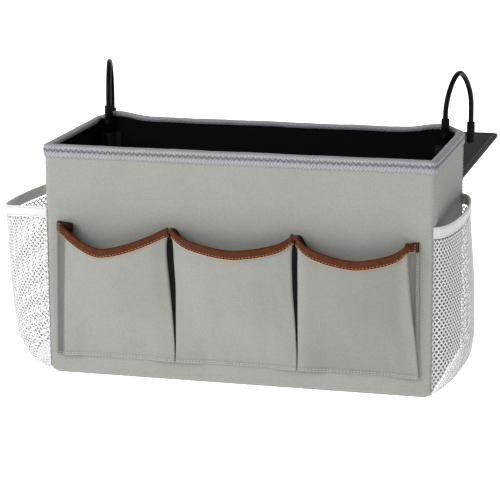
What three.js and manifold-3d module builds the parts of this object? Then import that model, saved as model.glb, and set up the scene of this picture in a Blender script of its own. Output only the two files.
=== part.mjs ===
// Bedside caddy: an open-topped fabric box with stiffener boards and a lining, three pleated front
// pockets with leather trim, a net pocket on each end, a stiff flap hinged on the back and two wire hooks.
// Millimetres, +Z up, +Y towards the bed. The origin is the middle of the box's underside.
import * as THREE from 'three';
import * as BufferGeometryUtils from 'three/addons/utils/BufferGeometryUtils.js';
import Module from 'manifold-3d';

const wasm = await Module();
wasm.setup();

// Driving dimensions
const boxWidth = 360;
const boxDepth = 150;
const boxHeight = 216;
const cornerRadius = 5;
const gap = 0.3;

// Wall layers, from outside in
const fabric = 1.0;
const board = 2.0;
const lining = 0.8;
const wall = fabric + gap + board + gap + lining;

// Rounding of the bottom edge, seen from the front and seen from the end
const endRounding = 8;
const frontRounding = 3;
const seamFromCorner = 1;

const halfWidth = boxWidth / 2;
const halfDepth = boxDepth / 2;
const boardFace = fabric + gap;
const liningFace = boardFace + board + gap;
const panelFoot = fabric + gap;
const boardFoot = liningFace;

const binding = { height: 14.5, leg: 1.2, rib: 0.3, ribPitch: 7, rollHeight: 4, room: 0.6, leastRadius: 1.5 };
const wallTop = boxHeight - binding.leg - gap - binding.room;

// How far the stiffener boards stop short of the box's outside
const boardShort = { longEnds: 4, endEdges: 4.5, base: 1, baseCorner: 4 };

// Front pockets. Each side is a pleat: an inner leg runs inward from the sewn flange, turns at a fold, and an
// outer leg runs back out to the front corner. It lies flat at the hem and stands out by depth at deepAt.
const pocket = {
  foot: 18, hem: 3.5, cloth: 1.0, depth: 14, deepAt: 121.5, opening: 0.9, bulge: 7.5, swollenAt: 95,
  pleat: 12, foldShare: 0.36, leastRadius: 0.9, mostRadius: 2.1, radiusShare: 0.19, frontTurn: 12,
  footPleat: 1.9, footCorner: 2.4, flatFold: 0.35, flatCorner: 0.5, pleatFrom: 42, pleatTo: 86,
  tackFrom: 112, tackTo: 144, edgePower: 1.55, peakPower: 9,
};
// For each pocket, left end then right end: the seam, the flange's width, the front corner, the corner where
// it is tacked at the top and its depth there, the trim's top on the flange, and the top edge's rise
const pockets = [
  {
    side: 'left', dipAt: -121, dipTop: 125, rise: [19.2, 20.8], lift: [0, 0], tab: [143.7, 142.5],
    seam: [-168.5, -58.3], flange: [3.8, 1.6], corner: [-160.5, -61.3], topCorner: [-160.5, -60.4],
    topDepth: [12, 10.7],
  },
  {
    side: 'middle', dipAt: 0, dipTop: 130, rise: [9.5, 9.5], lift: [6.5, 6.5], tab: [142.5, 142.5],
    seam: [-58.3, 57], flange: [1.6, 1.6], corner: [-54.6, 54], topCorner: [-56.2, 54.9],
    topDepth: [10.7, 10.7],
  },
  {
    side: 'right', dipAt: 112, dipTop: 126.8, rise: [10.5, 10.5], lift: [7.2, 6.6], tab: [142.5, 141.6],
    seam: [57, 166.8], flange: [1.6, 4], corner: [60.7, 160.5], topCorner: [59.1, 160.5],
    topDepth: [10.7, 12],
  },
];
const foldSteps = 3;
const cornerSteps = 4;
const frontSteps = 12;
const trim = { height: 8.8, leather: 1.0, foldRise: 0.1 };

// End nets: bulge = how far the net stands out from the end wall at each height above its foot. The seams
// follow the box's round corners, between the two seam angles.
const net = {
  cloth: 1.2, foot: 3, top: 145, seamFrom: 48, seamTo: 20, bandHeight: 10, bandCloth: 1.5, bandGap: 0.35,
};
const rightNet = {
  side: 1,
  bulge: [[0, 0], [2, 9], [6, 14], [14, 18.5], [30, 21], [79, 20], [142, 14]],
  bandDip: 0,
};
const leftNet = {
  side: -1,
  bulge: [[0, 0], [0.6, 18], [2, 31], [6, 40], [14, 47], [27, 52], [50, 55.5], [92, 58], [142, 60]],
  bandDip: 10.6,
};

// Flap: lies flat behind the back panel and folds about its root
const flap = {
  width: 356, length: 231, height: 168, corner: 5, board: 1.6, cover: 0.6, bead: 2.2, boardFrom: 3.2,
  boardInset: 0.5, edge: 0.5, edgeWidth: 4.6, edgeFrom: 9.2,
};
const tape = { bottom: 157, top: 173, cloth: 1.0 };
const flapRoot = halfDepth + gap + tape.cloth + gap + flap.bead + gap;

// Hooks: one bent wire each, standing in a webbing sleeve on the inner back wall
const hook = {
  x: 164.1, y: 64.5, turn: 15, wire: 2.45, foot: 140, spring: 230, tail: 198.5, gap: 58, rise: 35.5,
  pointed: 0.25,
};
const rubber = {
  outer: 3.85, bore: 2.75, lip: 0.4, capFoot: 195, capTop: 215, capFloor: 2.8, capRound: 1.6,
  collarFoot: 209, collarTop: 227,
};
const sleeve = { bore: 2.95, cloth: 1.0, strapHalf: 10, shoulder: 0.8, foot: 135, top: 200.5 };

const finish = {
  cloth: { color: 0xa8aaa3, roughness: 0.92, metalness: 0 },
  tape: { color: 0x96969f, roughness: 0.9, metalness: 0 },
  board: { color: 0x8d8a82, roughness: 0.9, metalness: 0 },
  lining: { color: 0x17171a, roughness: 0.9, metalness: 0 },
  leather: { color: 0x69321e, roughness: 0.5, metalness: 0 },
  mesh: { color: 0xf2f2f0, roughness: 0.8, metalness: 0 },
  elastic: { color: 0xf4f4f2, roughness: 0.85, metalness: 0 },
  flapCloth: { color: 0x3c3939, roughness: 0.8, metalness: 0 },
  wire: { color: 0x0d0d0f, roughness: 0.3, metalness: 0.2 },
  rubber: { color: 0x121214, roughness: 0.6, metalness: 0 },
};

const model = new THREE.Group();

function add(name, geometry, look, parent = model) {
  const mesh = new THREE.Mesh(geometry, new THREE.MeshStandardMaterial(look));
  mesh.name = name;
  parent.add(mesh);
  return mesh;
}

function point(x, y, z) {
  return new THREE.Vector3(x, y, z);
}

// A closed geometry from points and triangles, turned so that its faces point out
function closedGeometry(points, triangles) {
  let volume = 0;
  for (const [a, b, c] of triangles) {
    volume += points[a].dot(points[b].clone().cross(points[c]));
  }
  const index = volume < 0 ? triangles.map(([a, b, c]) => [a, c, b]) : triangles;
  const geometry = new THREE.BufferGeometry();
  geometry.setAttribute('position', new THREE.Float32BufferAttribute(points.flatMap((p) => p.toArray()), 3));
  geometry.setIndex(index.flat());
  geometry.computeVertexNormals();
  return geometry;
}

// A thin sheet between two grids of points: both faces and the four edges between them
function sheet(outer, inner) {
  const rows = outer.length;
  const columns = outer[0].length;
  const points = [...outer.flat(), ...inner.flat()];
  const triangles = [];
  const at = (face, row, column) => (face * rows + row) * columns + column;
  const quad = (a, b, c, d) => triangles.push([a, b, c], [a, c, d]);
  const [lastRow, lastColumn] = [rows - 1, columns - 1];
  for (let row = 0; row < lastRow; row++) {
    const next = row + 1;
    for (let column = 0; column < lastColumn; column++) {
      quad(at(0, row, column), at(0, row, column + 1), at(0, next, column + 1), at(0, next, column));
      quad(at(1, row, column), at(1, next, column), at(1, next, column + 1), at(1, row, column + 1));
    }
    quad(at(0, next, 0), at(1, next, 0), at(1, row, 0), at(0, row, 0));
    quad(at(0, row, lastColumn), at(1, row, lastColumn), at(1, next, lastColumn), at(0, next, lastColumn));
  }
  for (let column = 0; column < lastColumn; column++) {
    const next = column + 1;
    quad(at(0, 0, column), at(1, 0, column), at(1, 0, next), at(0, 0, next));
    quad(at(0, lastRow, next), at(1, lastRow, next), at(1, lastRow, column), at(0, lastRow, column));
  }
  return closedGeometry(points, triangles);
}

// Closed outlines skinned one after the other: joined end to end as a ring, or capped at both ends
function skin(outlines, isRing) {
  const count = outlines[0].length;
  const points = outlines.flat();
  const triangles = [];
  const spans = isRing ? outlines.length : outlines.length - 1;
  for (let span = 0; span < spans; span++) {
    const here = span * count;
    const next = ((span + 1) % outlines.length) * count;
    for (let i = 0; i < count; i++) {
      const j = (i + 1) % count;
      triangles.push([here + i, here + j, next + j], [here + i, next + j, next + i]);
    }
  }
  if (!isRing) {
    for (const [first, flipped] of [[0, true], [(outlines.length - 1) * count, false]]) {
      const centre = points.slice(first, first + count).reduce((sum, p) => sum.add(p), point(0, 0, 0));
      const hub = points.push(centre.divideScalar(count)) - 1;
      for (let i = 0; i < count; i++) {
        const j = (i + 1) % count;
        triangles.push(flipped ? [hub, first + j, first + i] : [hub, first + i, first + j]);
      }
    }
  }
  return closedGeometry(points, triangles);
}

// Move every point of a grid along its own normal; a folded place is mitred
function offset(grid, distance) {
  const normals = [];
  for (let row = 0; row < grid.length - 1; row++) {
    normals.push([]);
    for (let column = 0; column < grid[0].length - 1; column++) {
      const across = grid[row + 1][column + 1].clone().sub(grid[row][column]);
      const back = grid[row + 1][column].clone().sub(grid[row][column + 1]);
      normals[row].push(across.cross(back).normalize());
    }
  }
  return grid.map((line, row) => line.map((p, column) => {
    const around = [];
    for (const r of [row - 1, row]) {
      for (const c of [column - 1, column]) {
        if (normals[r] && normals[r][c]) around.push(normals[r][c]);
      }
    }
    const mean = around.reduce((sum, n) => sum.add(n), point(0, 0, 0)).normalize();
    const lean = around.reduce((sum, n) => sum + n.dot(mean), 0) / around.length;
    return p.clone().addScaledVector(mean, distance / lean);
  }));
}

function toSolid(geometry) {
  const plain = geometry.clone();
  for (const name of ['normal', 'uv']) plain.deleteAttribute(name);
  const merged = BufferGeometryUtils.mergeVertices(plain, 1e-4);
  return new wasm.Manifold(new wasm.Mesh({
    numProp: 3,
    vertProperties: new Float32Array(merged.attributes.position.array),
    triVerts: new Uint32Array(merged.index.array),
  }));
}

function fromSolid(solid) {
  const mesh = solid.getMesh();
  const geometry = new THREE.BufferGeometry();
  geometry.setAttribute('position', new THREE.Float32BufferAttribute(mesh.vertProperties, 3));
  geometry.setIndex(Array.from(mesh.triVerts));
  geometry.computeVertexNormals();
  return geometry;
}

function boxBetween(low, high) {
  const geometry = new THREE.BoxGeometry(high[0] - low[0], high[1] - low[1], high[2] - low[2]);
  geometry.translate((low[0] + high[0]) / 2, (low[1] + high[1]) / 2, (low[2] + high[2]) / 2);
  return geometry;
}

function spread(from, to, steps) {
  return Array.from({ length: steps + 1 }, (_, i) => from + ((to - from) * i) / steps);
}

// How far the bottom rounding draws a wall in at height z
function drawnIn(z, radius) {
  const below = Math.max(radius - z, 0);
  return radius - Math.sqrt(radius * radius - below * below);
}

// Plan outline of a rectangle with round corners, counter-clockwise
function roundedOutline(halfX, halfY, radius, z, steps = 5) {
  const outline = [];
  const corners = [[1, 1], [-1, 1], [-1, -1], [1, -1]];
  corners.forEach(([sideX, sideY], quarter) => {
    for (const angle of spread((quarter * Math.PI) / 2, ((quarter + 1) * Math.PI) / 2, steps)) {
      outline.push(point(
        sideX * (halfX - radius) + radius * Math.cos(angle),
        sideY * (halfY - radius) + radius * Math.sin(angle),
        z,
      ));
    }
  });
  return outline;
}

// Heights for a wall: close together in the bottom rounding, then one straight run
const wallHeights = [panelFoot, 2, 3, 4.5, 6, endRounding, wallTop];

// The front or back cloth: flat, wrapped round both corners to the side seams
function widePanel(sideY) {
  const seam = halfDepth - cornerRadius - seamFromCorner;
  const grid = (inset) => wallHeights.map((z) => {
    const x = halfWidth - inset - drawnIn(z, endRounding);
    const y = halfDepth - inset - drawnIn(z, frontRounding);
    const radius = cornerRadius - inset;
    const right = spread(0, Math.PI / 2, 5).map((angle) => [
      x - radius + radius * Math.cos(angle),
      y - radius + radius * Math.sin(angle),
    ]);
    const half = [[x, seam], ...right];
    const line = [...half, ...half.map(([px, py]) => [-px, py]).reverse()];
    return line.map(([px, py]) => point(px, sideY * py, z));
  });
  return sheet(grid(0), grid(fabric));
}

// The left or right cloth, between the two seams
function endPanel(sideX) {
  const seam = halfDepth - cornerRadius - seamFromCorner - gap;
  const grid = (inset) => wallHeights.map((z) => {
    const x = sideX * (halfWidth - inset - drawnIn(z, endRounding));
    return [point(x, -seam, z), point(x, seam, z)];
  });
  return sheet(grid(0), grid(fabric));
}

function basePanel() {
  return skin([0, 0.3, 0.6, fabric].map((z) => roundedOutline(
    halfWidth - drawnIn(z, endRounding),
    halfDepth - drawnIn(z, frontRounding),
    cornerRadius,
    z,
  )), false);
}

// A flat plate standing in the XZ plane with rounded bottom corners, its outer face at y = 0
function standingPlate(halfX, foot, top, bottomRadius, thickness) {
  const shape = new THREE.Shape();
  shape.moveTo(-halfX, top);
  shape.lineTo(-halfX, foot + bottomRadius);
  shape.absarc(-halfX + bottomRadius, foot + bottomRadius, bottomRadius, Math.PI, 1.5 * Math.PI);
  shape.absarc(halfX - bottomRadius, foot + bottomRadius, bottomRadius, 1.5 * Math.PI, 2 * Math.PI);
  shape.lineTo(halfX, top);
  shape.closePath();
  const options = { depth: thickness, bevelEnabled: false, curveSegments: 6 };
  return new THREE.ExtrudeGeometry(shape, options).rotateX(Math.PI / 2);
}

function lyingPlate(halfX, halfY, radius, z, thickness) {
  return skin([z, z + thickness].map((height) => roundedOutline(halfX, halfY, radius, height)), false);
}

function makeWalls() {
  add('front_panel', widePanel(-1), finish.cloth);
  add('back_panel', widePanel(1), finish.cloth);
  add('right_panel', endPanel(1), finish.cloth);
  add('left_panel', endPanel(-1), finish.cloth);
  add('base_panel', basePanel(), finish.cloth);

  // The long boards stop short of the round corners; the end boards stand between them
  const longHalf = halfWidth - boardShort.longEnds;
  const endHalf = halfDepth - boardShort.endEdges;
  for (const [name, side] of [['front_board', -1], ['back_board', 1]]) {
    const plate = standingPlate(longHalf, boardFoot, wallTop, endRounding, board);
    const face = side * (halfDepth - boardFace);
    plate.translate(0, side < 0 ? face + board : face, 0);
    add(name, plate, finish.board);
  }
  for (const [name, side] of [['right_board', 1], ['left_board', -1]]) {
    const outer = side * (halfWidth - boardFace);
    const inner = side * (halfWidth - boardFace - board);
    const low = [Math.min(outer, inner), -endHalf, endRounding];
    const high = [Math.max(outer, inner), endHalf, wallTop];
    add(name, boxBetween(low, high), finish.board);
  }
  const baseInset = drawnIn(boardFace, endRounding) + boardFace;
  const baseY = halfDepth - boardFace - boardShort.base;
  const basePlate = lyingPlate(halfWidth - baseInset, baseY, boardShort.baseCorner, boardFace, board);
  add('base_board', basePlate, finish.board);

  // The lining's long walls run past the end walls
  const liningX = halfWidth - liningFace;
  const liningY = halfDepth - liningFace;
  for (const [name, side] of [['lining_front', -1], ['lining_back', 1]]) {
    const faces = [side * liningY, side * (liningY - lining)].sort((a, b) => a - b);
    add(name, boxBetween([-liningX, faces[0], liningFace], [liningX, faces[1], wallTop]), finish.lining);
  }
  const liningEnd = liningY - lining - gap;
  for (const [name, side] of [['lining_right', 1], ['lining_left', -1]]) {
    const faces = [side * liningX, side * (liningX - lining)].sort((a, b) => a - b);
    add(name, boxBetween([faces[0], -liningEnd, liningFace], [faces[1], liningEnd, wallTop]), finish.lining);
  }
  const floorX = liningX - lining - gap;
  add('lining_base', boxBetween(
    [-floorX, -liningEnd, liningFace],
    [floorX, liningEnd, liningFace + lining],
  ), finish.lining);
}

// Tape folded over the rim: two ribs on each side with the stitched groove between them, and a round top
function rimBinding() {
  const middle = -wall / 2;
  const reach = wall / 2 + gap + binding.leg;
  const foot = boxHeight - binding.height;
  const rollStart = boxHeight - binding.rollHeight;
  const rib = (z) => reach - binding.rib * Math.cos((2 * Math.PI * (z - foot)) / binding.ribPitch);
  const side = spread(foot, rollStart, 8).map((z) => [rib(z), z]);
  const rollReach = rib(rollStart);
  const roll = spread(0, Math.PI, 8).slice(1, -1).map((angle) => [
    rollReach * Math.cos(angle),
    rollStart + binding.rollHeight * Math.sin(angle),
  ]);
  const channel = wall / 2 + gap;
  const profile = [
    ...side,
    ...roll,
    ...side.map(([away, z]) => [-away, z]).reverse(),
    [-channel, foot],
    [-channel, wallTop + gap],
    [channel, wallTop + gap],
    [channel, foot],
  ];
  return skin(profile.map(([away, z]) => {
    const out = middle + away;
    const radius = Math.max(cornerRadius + out, binding.leastRadius);
    return roundedOutline(halfWidth + out, halfDepth + out, radius, z);
  }), true);
}

function share(value, from, to) {
  return Math.min(Math.max((value - from) / (to - from), 0), 1);
}

function smooth(value, from, to) {
  const t = share(value, from, to);
  return t * t * (3 - 2 * t);
}

// The folds of a pocket's side as [inward, out] from the flange's root: the arc of the inner fold at innerAt
// and the arc of the front corner at cornerAt. The straight legs are tangent to them.
function pleatFolds(innerAt, cornerAt, depth) {
  const radius = Math.min(Math.max(pocket.radiusShare * depth, pocket.leastRadius), pocket.mostRadius);
  const fold = [innerAt - radius, pocket.foldShare * depth];
  const corner = [cornerAt + radius, depth - radius];
  const arrive = Math.atan2(fold[1], fold[0]) - Math.asin(radius / Math.hypot(fold[0], fold[1]));
  const across = corner[0] - fold[0];
  const out = corner[1] - fold[1];
  const leave = Math.atan2(out, across) + Math.asin((2 * radius) / Math.hypot(across, out));
  const arc = (centre, from, to, steps) => spread(from, to, steps).map((angle) => [
    centre[0] + radius * Math.cos(angle),
    centre[1] + radius * Math.sin(angle),
  ]);
  const quarter = Math.PI / 2;
  const front = THREE.MathUtils.degToRad(pocket.frontTurn);
  return [
    arc(fold, arrive - quarter, leave - quarter, foldSteps),
    arc(corner, leave + quarter, front + quarter, cornerSteps),
  ];
}

// A pocket's middle surface at height z, from seam to seam. At the hem the folds' points lie flat.
function pocketLine(shape, z) {
  const onPanel = halfDepth + gap + pocket.cloth / 2;
  const hemTop = pocket.foot + pocket.hem;
  const open = Math.max((z - hemTop) / (pocket.deepAt - hemTop), 0) ** pocket.opening;
  const formed = smooth(z, hemTop, pocket.pleatFrom);
  const pleated = smooth(z, pocket.pleatFrom, pocket.pleatTo);
  const tacked = smooth(z, pocket.tackFrom, pocket.tackTo);
  const mix = (from, to, t) => from + (to - from) * t;
  const [left, right] = [0, 1].map((side) => {
    const inward = side === 0 ? 1 : -1;
    const root = shape.seam[side] + inward * shape.flange[side];
    const corner = (mix(shape.corner[side], shape.topCorner[side], tacked) - root) * inward;
    const depth = mix(pocket.depth, shape.topDepth[side], tacked) * open;
    const innerAt = mix(pocket.footPleat, pocket.pleat, pleated);
    const cornerAt = mix(pocket.footCorner, corner, pleated);
    const [innerFold, frontCorner] = pleatFolds(innerAt, cornerAt, depth);
    const cornerFrom = pocket.flatFold * innerFold.length;
    const place = (arc, from, step) => arc.map(([across, out], i) => [
      root + inward * mix(from + step * (i + 1), across, formed),
      mix(0, out, formed),
    ]);
    return [
      [shape.seam[side] + (inward * gap) / 2, 0],
      [root, 0],
      ...place(innerFold, 0, pocket.flatFold),
      ...place(frontCorner, cornerFrom, pocket.flatCorner),
    ];
  });
  const start = left[left.length - 1];
  const end = right[right.length - 1];
  const swell = pocket.bulge * Math.sin((Math.PI / 2) * share(z, hemTop, pocket.swollenAt));
  const front = spread(0, Math.PI, frontSteps).slice(1, -1).map((angle) => {
    const s = (1 - Math.cos(angle)) / 2;
    const out = start[1] + (end[1] - start[1]) * s + swell * Math.sin(Math.PI * s);
    return [start[0] + (end[0] - start[0]) * s, out];
  });
  return [...left, ...front, ...right.reverse()].map(([x, out]) => point(x, -onPanel - out, z));
}

// Height of a pocket's top edge at x on its front face
function pocketEdge(shape, x) {
  const side = x < shape.dipAt ? 0 : 1;
  const away = share(x, shape.dipAt, shape.topCorner[side]);
  const curve = shape.rise[side] * away ** pocket.edgePower;
  return shape.dipTop + curve + shape.lift[side] * away ** pocket.peakPower;
}

// The trim's top at each point of a pocket's line: level over flange and inner fold, then the front's edge
function pocketTops(shape) {
  const line = pocketLine(shape, pocket.tackTo);
  const level = 2 + foldSteps;
  return line.map((p, i) => {
    if (i <= level) return shape.tab[0];
    if (i >= line.length - 1 - level) return shape.tab[1];
    return pocketEdge(shape, p.x);
  });
}

function pocketShell(shape) {
  const hemTop = pocket.foot + pocket.hem;
  const tops = pocketTops(shape);
  const row = (height) => tops.map((top, i) => pocketLine(shape, height(top))[i]);
  const middle = [
    row(() => pocket.foot),
    ...spread(0, 1, 9).map((v) => row((top) => hemTop + (top - trim.height - hemTop) * v)),
    row((top) => top - gap - trim.leather),
  ];
  return sheet(offset(middle, pocket.cloth / 2), offset(middle, -pocket.cloth / 2));
}

// The trim is a strip folded over the pocket's top edge; where the pocket is sewn flat on the panel,
// only its front leg is left
function pocketTrim(shape) {
  const near = pocket.cloth / 2 + gap;
  const far = near + trim.leather;
  const tops = pocketTops(shape);
  const heights = [-trim.height, -trim.leather - trim.foldRise, -trim.leather, -trim.leather / 2, 0];
  const rows = heights.map((h) => tops.map((top, i) => pocketLine(shape, top + h)[i]));
  const level = (w, row) => offset(rows, w)[row];
  const turn = (lines) => tops.map((_, column) => lines.map((line) => line[column]));
  const outside = [[far, 0], [far, 3], [far * 0.55, 4], [-far * 0.55, 4], [-far, 3], [-far, 0]]
    .map(([w, row]) => level(w, row));
  const inside = [[near, 0], [near, 1], [near * 0.4, 2], [-near * 0.4, 2], [-near, 1], [-near, 0]]
    .map(([w, row]) => level(w, row));
  const strip = toSolid(sheet(turn(outside), turn(inside)));
  const panelSide = toSolid(boxBetween([-halfWidth, -halfDepth - gap, 0], [halfWidth, 0, boxHeight]));
  return fromSolid(strip.subtract(panelSide));
}

// Plan path of a net that stands out by standOff: a seam round each corner and half an ellipse between
function netPath(shape, standOff, wallGap) {
  const reach = cornerRadius + wallGap;
  const seam = spread(net.seamFrom, net.seamTo, 2).map((degrees) => {
    const angle = THREE.MathUtils.degToRad(degrees);
    const [x, y] = [reach * Math.cos(angle), reach * Math.sin(angle)];
    return [halfWidth - cornerRadius + x, halfDepth - cornerRadius + y];
  });
  const [rootX, rootY] = seam[seam.length - 1];
  const farX = halfWidth + wallGap + standOff;
  const curve = spread(0, Math.PI, 18).slice(1, -1).map((angle) => [
    rootX + (farX - rootX) * Math.sin(angle),
    -rootY * Math.cos(angle),
  ]);
  const path = [...seam.map(([x, y]) => [x, -y]), ...curve, ...seam.reverse()];
  return path.map(([x, y]) => [shape.side * x, y]);
}

// How far the net stands out at height h above its foot, straight between the stated heights
function netBulge(shape, h) {
  const next = shape.bulge.findIndex(([height]) => height >= h);
  if (next === 0) return shape.bulge[0][1];
  const [lowHeight, lowOut] = shape.bulge[next - 1];
  const [highHeight, highOut] = shape.bulge[next];
  return lowOut + ((highOut - lowOut) * (h - lowHeight)) / (highHeight - lowHeight);
}

// How much lower the band hangs at its outermost point than at its seams
function bandSag(shape, y) {
  return shape.bandDip * Math.max(1 - (y / (halfDepth - cornerRadius)) ** 2, 0);
}

function netShell(shape) {
  const wallGap = gap + net.cloth / 2;
  const middle = shape.bulge.map(([h]) => netPath(shape, netBulge(shape, h), wallGap).map(([x, y]) => {
    const share = h / (net.top - net.foot);
    return point(x, y, net.foot + h - share * bandSag(shape, y));
  }));
  return sheet(offset(middle, net.cloth / 2), offset(middle, -net.cloth / 2));
}

function netBand(shape) {
  const standOff = shape.bulge[shape.bulge.length - 1][1];
  const path = netPath(shape, standOff, net.bandGap + net.bandCloth / 2);
  const middle = spread(0, net.bandHeight, 2).map((h) => (
    path.map(([x, y]) => point(x, y, net.top + gap + h - bandSag(shape, y)))
  ));
  return sheet(offset(middle, net.bandCloth / 2), offset(middle, -net.bandCloth / 2));
}

function makePockets() {
  for (const shape of pockets) {
    add(`pocket_${shape.side}`, pocketShell(shape), finish.cloth);
    add(`pocket_trim_${shape.side}`, pocketTrim(shape), finish.leather);
  }
  for (const [name, shape] of [['left', leftNet], ['right', rightNet]]) {
    add(`net_${name}`, netShell(shape), finish.mesh);
    add(`net_band_${name}`, netBand(shape), finish.elastic);
  }
}

// The flap in its own frame: the hinge axis is the X axis, the flap lies towards +Y
function flapPlate(thickness, z, root, inset) {
  const halfX = flap.width / 2 - inset;
  const far = flap.length - inset;
  const radius = flap.corner;
  const shape = new THREE.Shape();
  shape.moveTo(-halfX, root);
  shape.lineTo(halfX, root);
  shape.lineTo(halfX, far - radius);
  shape.absarc(halfX - radius, far - radius, radius, 0, Math.PI / 2);
  shape.absarc(-halfX + radius, far - radius, radius, Math.PI / 2, Math.PI);
  shape.closePath();
  const options = { depth: thickness, bevelEnabled: false, curveSegments: 5 };
  return new THREE.ExtrudeGeometry(shape, options).translate(0, 0, z);
}

// Edge tape round the flap's three free sides: a U section swept along them
function flapBinding() {
  const inner = flap.board / 2 + gap + flap.cover + gap;
  const outer = inner + flap.edge;
  const path = [];
  const radius = flap.corner;
  const halfX = flap.width / 2;
  path.push([halfX, flap.edgeFrom, 1, 0]);
  for (const angle of spread(0, Math.PI / 2, 5)) {
    path.push([halfX - radius + radius * Math.cos(angle), flap.length - radius + radius * Math.sin(angle),
      Math.cos(angle), Math.sin(angle)]);
  }
  for (const angle of spread(Math.PI / 2, Math.PI, 5)) {
    path.push([-halfX + radius + radius * Math.cos(angle), flap.length - radius + radius * Math.sin(angle),
      Math.cos(angle), Math.sin(angle)]);
  }
  path.push([-halfX, flap.edgeFrom, -1, 0]);
  const along = ([x, y, outX, outY], depth, z) => point(x - outX * depth, y - outY * depth, z);
  const outside = path.map((p) => [
    along(p, flap.edgeWidth, outer), along(p, flap.edge, outer), along(p, 0, outer * 0.6),
    along(p, 0, -outer * 0.6), along(p, flap.edge, -outer), along(p, flap.edgeWidth, -outer),
  ]);
  const inside = path.map((p) => [
    along(p, flap.edgeWidth, inner), along(p, flap.edge, inner), along(p, flap.edge, inner * 0.6),
    along(p, flap.edge, -inner * 0.6), along(p, flap.edge, -inner), along(p, flap.edgeWidth, -inner),
  ]);
  return sheet(outside, inside);
}

function makeFlap() {
  const tapeFace = halfDepth + gap;
  add('flap_hinge_tape', boxBetween(
    [-flap.width / 2, tapeFace, tape.bottom],
    [flap.width / 2, tapeFace + tape.cloth, tape.top],
  ), finish.lining);

  const hinge = new THREE.Group();
  hinge.position.set(0, flapRoot, flap.height);
  model.add(hinge);
  const inset = flap.edge + gap;

  // The top cover runs on round the root as a bead, which the flap turns about
  const bead = new THREE.CylinderGeometry(flap.bead, flap.bead, flap.width - 2 * inset, 20);
  bead.rotateZ(Math.PI / 2);
  const topCover = flapPlate(flap.cover, flap.board / 2 + gap, 0, inset);
  add('flap_top_cover', fromSolid(toSolid(bead).add(toSolid(topCover))), finish.flapCloth, hinge);
  const boardPlate = flapPlate(flap.board, -flap.board / 2, flap.boardFrom, inset + flap.boardInset);
  add('flap_board', boardPlate, finish.board, hinge);
  const bottomZ = -flap.board / 2 - gap - flap.cover;
  add('flap_bottom_cover', flapPlate(flap.cover, bottomZ, flap.boardFrom, inset), finish.lining, hinge);
  add('flap_binding', flapBinding(), finish.lining, hinge);
}

// An arch in the YZ plane, from the front leg over to the rear leg: half an ellipse drawn in towards its top
class HookArch extends THREE.Curve {
  getPoint(t) {
    const angle = Math.PI * (1 - t);
    const half = hook.gap / 2;
    const rise = Math.sin(angle);
    const across = half * Math.cos(angle) * (1 - hook.pointed * rise * rise);
    return point(0, half + across, hook.spring + hook.rise * rise);
  }
}

function hookWire() {
  const path = new THREE.CurvePath();
  path.add(new THREE.LineCurve3(point(0, 0, hook.foot), point(0, 0, hook.spring)));
  path.add(new HookArch());
  path.add(new THREE.LineCurve3(point(0, hook.gap, hook.spring), point(0, hook.gap, hook.tail)));
  const section = new THREE.Shape().absarc(0, 0, hook.wire, 0, 2 * Math.PI);
  const options = { steps: 44, curveSegments: 7, extrudePath: path, bevelEnabled: false };
  return new THREE.ExtrudeGeometry(section, options);
}

// A sleeve of rubber with softened lips
function rubberCollar() {
  const { outer, bore, lip, collarFoot, collarTop } = rubber;
  const profile = [
    [bore, collarFoot + lip], [bore + lip, collarFoot], [outer - lip, collarFoot], [outer, collarFoot + lip],
    [outer, collarTop - lip], [outer - lip, collarTop], [bore + lip, collarTop], [bore, collarTop - lip],
    [bore, collarFoot + lip],
  ];
  return new THREE.LatheGeometry(profile.map(([r, z]) => new THREE.Vector2(r, z)), 20).rotateX(Math.PI / 2);
}

// A blind cap on the wire's tail, round at its foot
function rubberCap() {
  const { outer, bore, lip, capFoot, capTop, capFloor, capRound } = rubber;
  const dome = spread(-Math.PI / 2, 0, 5).map((angle) => [
    outer - capRound + capRound * Math.cos(angle),
    capFoot + capRound + capRound * Math.sin(angle),
  ]);
  const profile = [
    [0, capFoot], ...dome, [outer, capTop - lip], [outer - lip, capTop], [bore, capTop],
    [bore, capFoot + capFloor], [0, capFoot + capFloor],
  ];
  return new THREE.LatheGeometry(profile.map(([r, z]) => new THREE.Vector2(r, z)), 20).rotateX(Math.PI / 2);
}

// Webbing sewn flat on the back lining on both sides of the wire and arched round it
function hookSleeve() {
  const wallFace = halfDepth - wall - gap - hook.y;
  const strapFront = wallFace - sleeve.cloth;
  const bump = sleeve.bore + sleeve.cloth;
  const shape = new THREE.Shape();
  shape.moveTo(-sleeve.strapHalf, wallFace);
  shape.lineTo(-sleeve.strapHalf, strapFront);
  shape.lineTo(-bump - sleeve.shoulder, strapFront);
  shape.absarc(0, 0, bump, Math.PI, 2 * Math.PI);
  shape.lineTo(bump + sleeve.shoulder, strapFront);
  shape.lineTo(sleeve.strapHalf, strapFront);
  shape.lineTo(sleeve.strapHalf, wallFace);
  shape.closePath();
  const hole = new THREE.Path().absarc(0, 0, sleeve.bore, 0, 2 * Math.PI, true);
  shape.holes.push(hole);
  const depth = sleeve.top - sleeve.foot;
  const geometry = new THREE.ExtrudeGeometry(shape, { depth, bevelEnabled: false, curveSegments: 10 });
  return geometry.translate(0, 0, sleeve.foot);
}

function makeHooks() {
  for (const [name, side] of [['left', -1], ['right', 1]]) {
    const post = new THREE.Group();
    post.position.set(side * hook.x, hook.y, 0);
    model.add(post);
    add(`hook_sleeve_${name}`, hookSleeve(), finish.lining, post);
    add(`hook_collar_${name}`, rubberCollar(), finish.rubber, post);
    const turned = new THREE.Group();
    turned.rotation.z = -side * THREE.MathUtils.degToRad(hook.turn);
    post.add(turned);
    add(`hook_wire_${name}`, hookWire(), finish.wire, turned);
    const tail = new THREE.Group();
    tail.position.set(0, hook.gap, 0);
    turned.add(tail);
    add(`hook_cap_${name}`, rubberCap(), finish.rubber, tail);
  }
}

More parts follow.
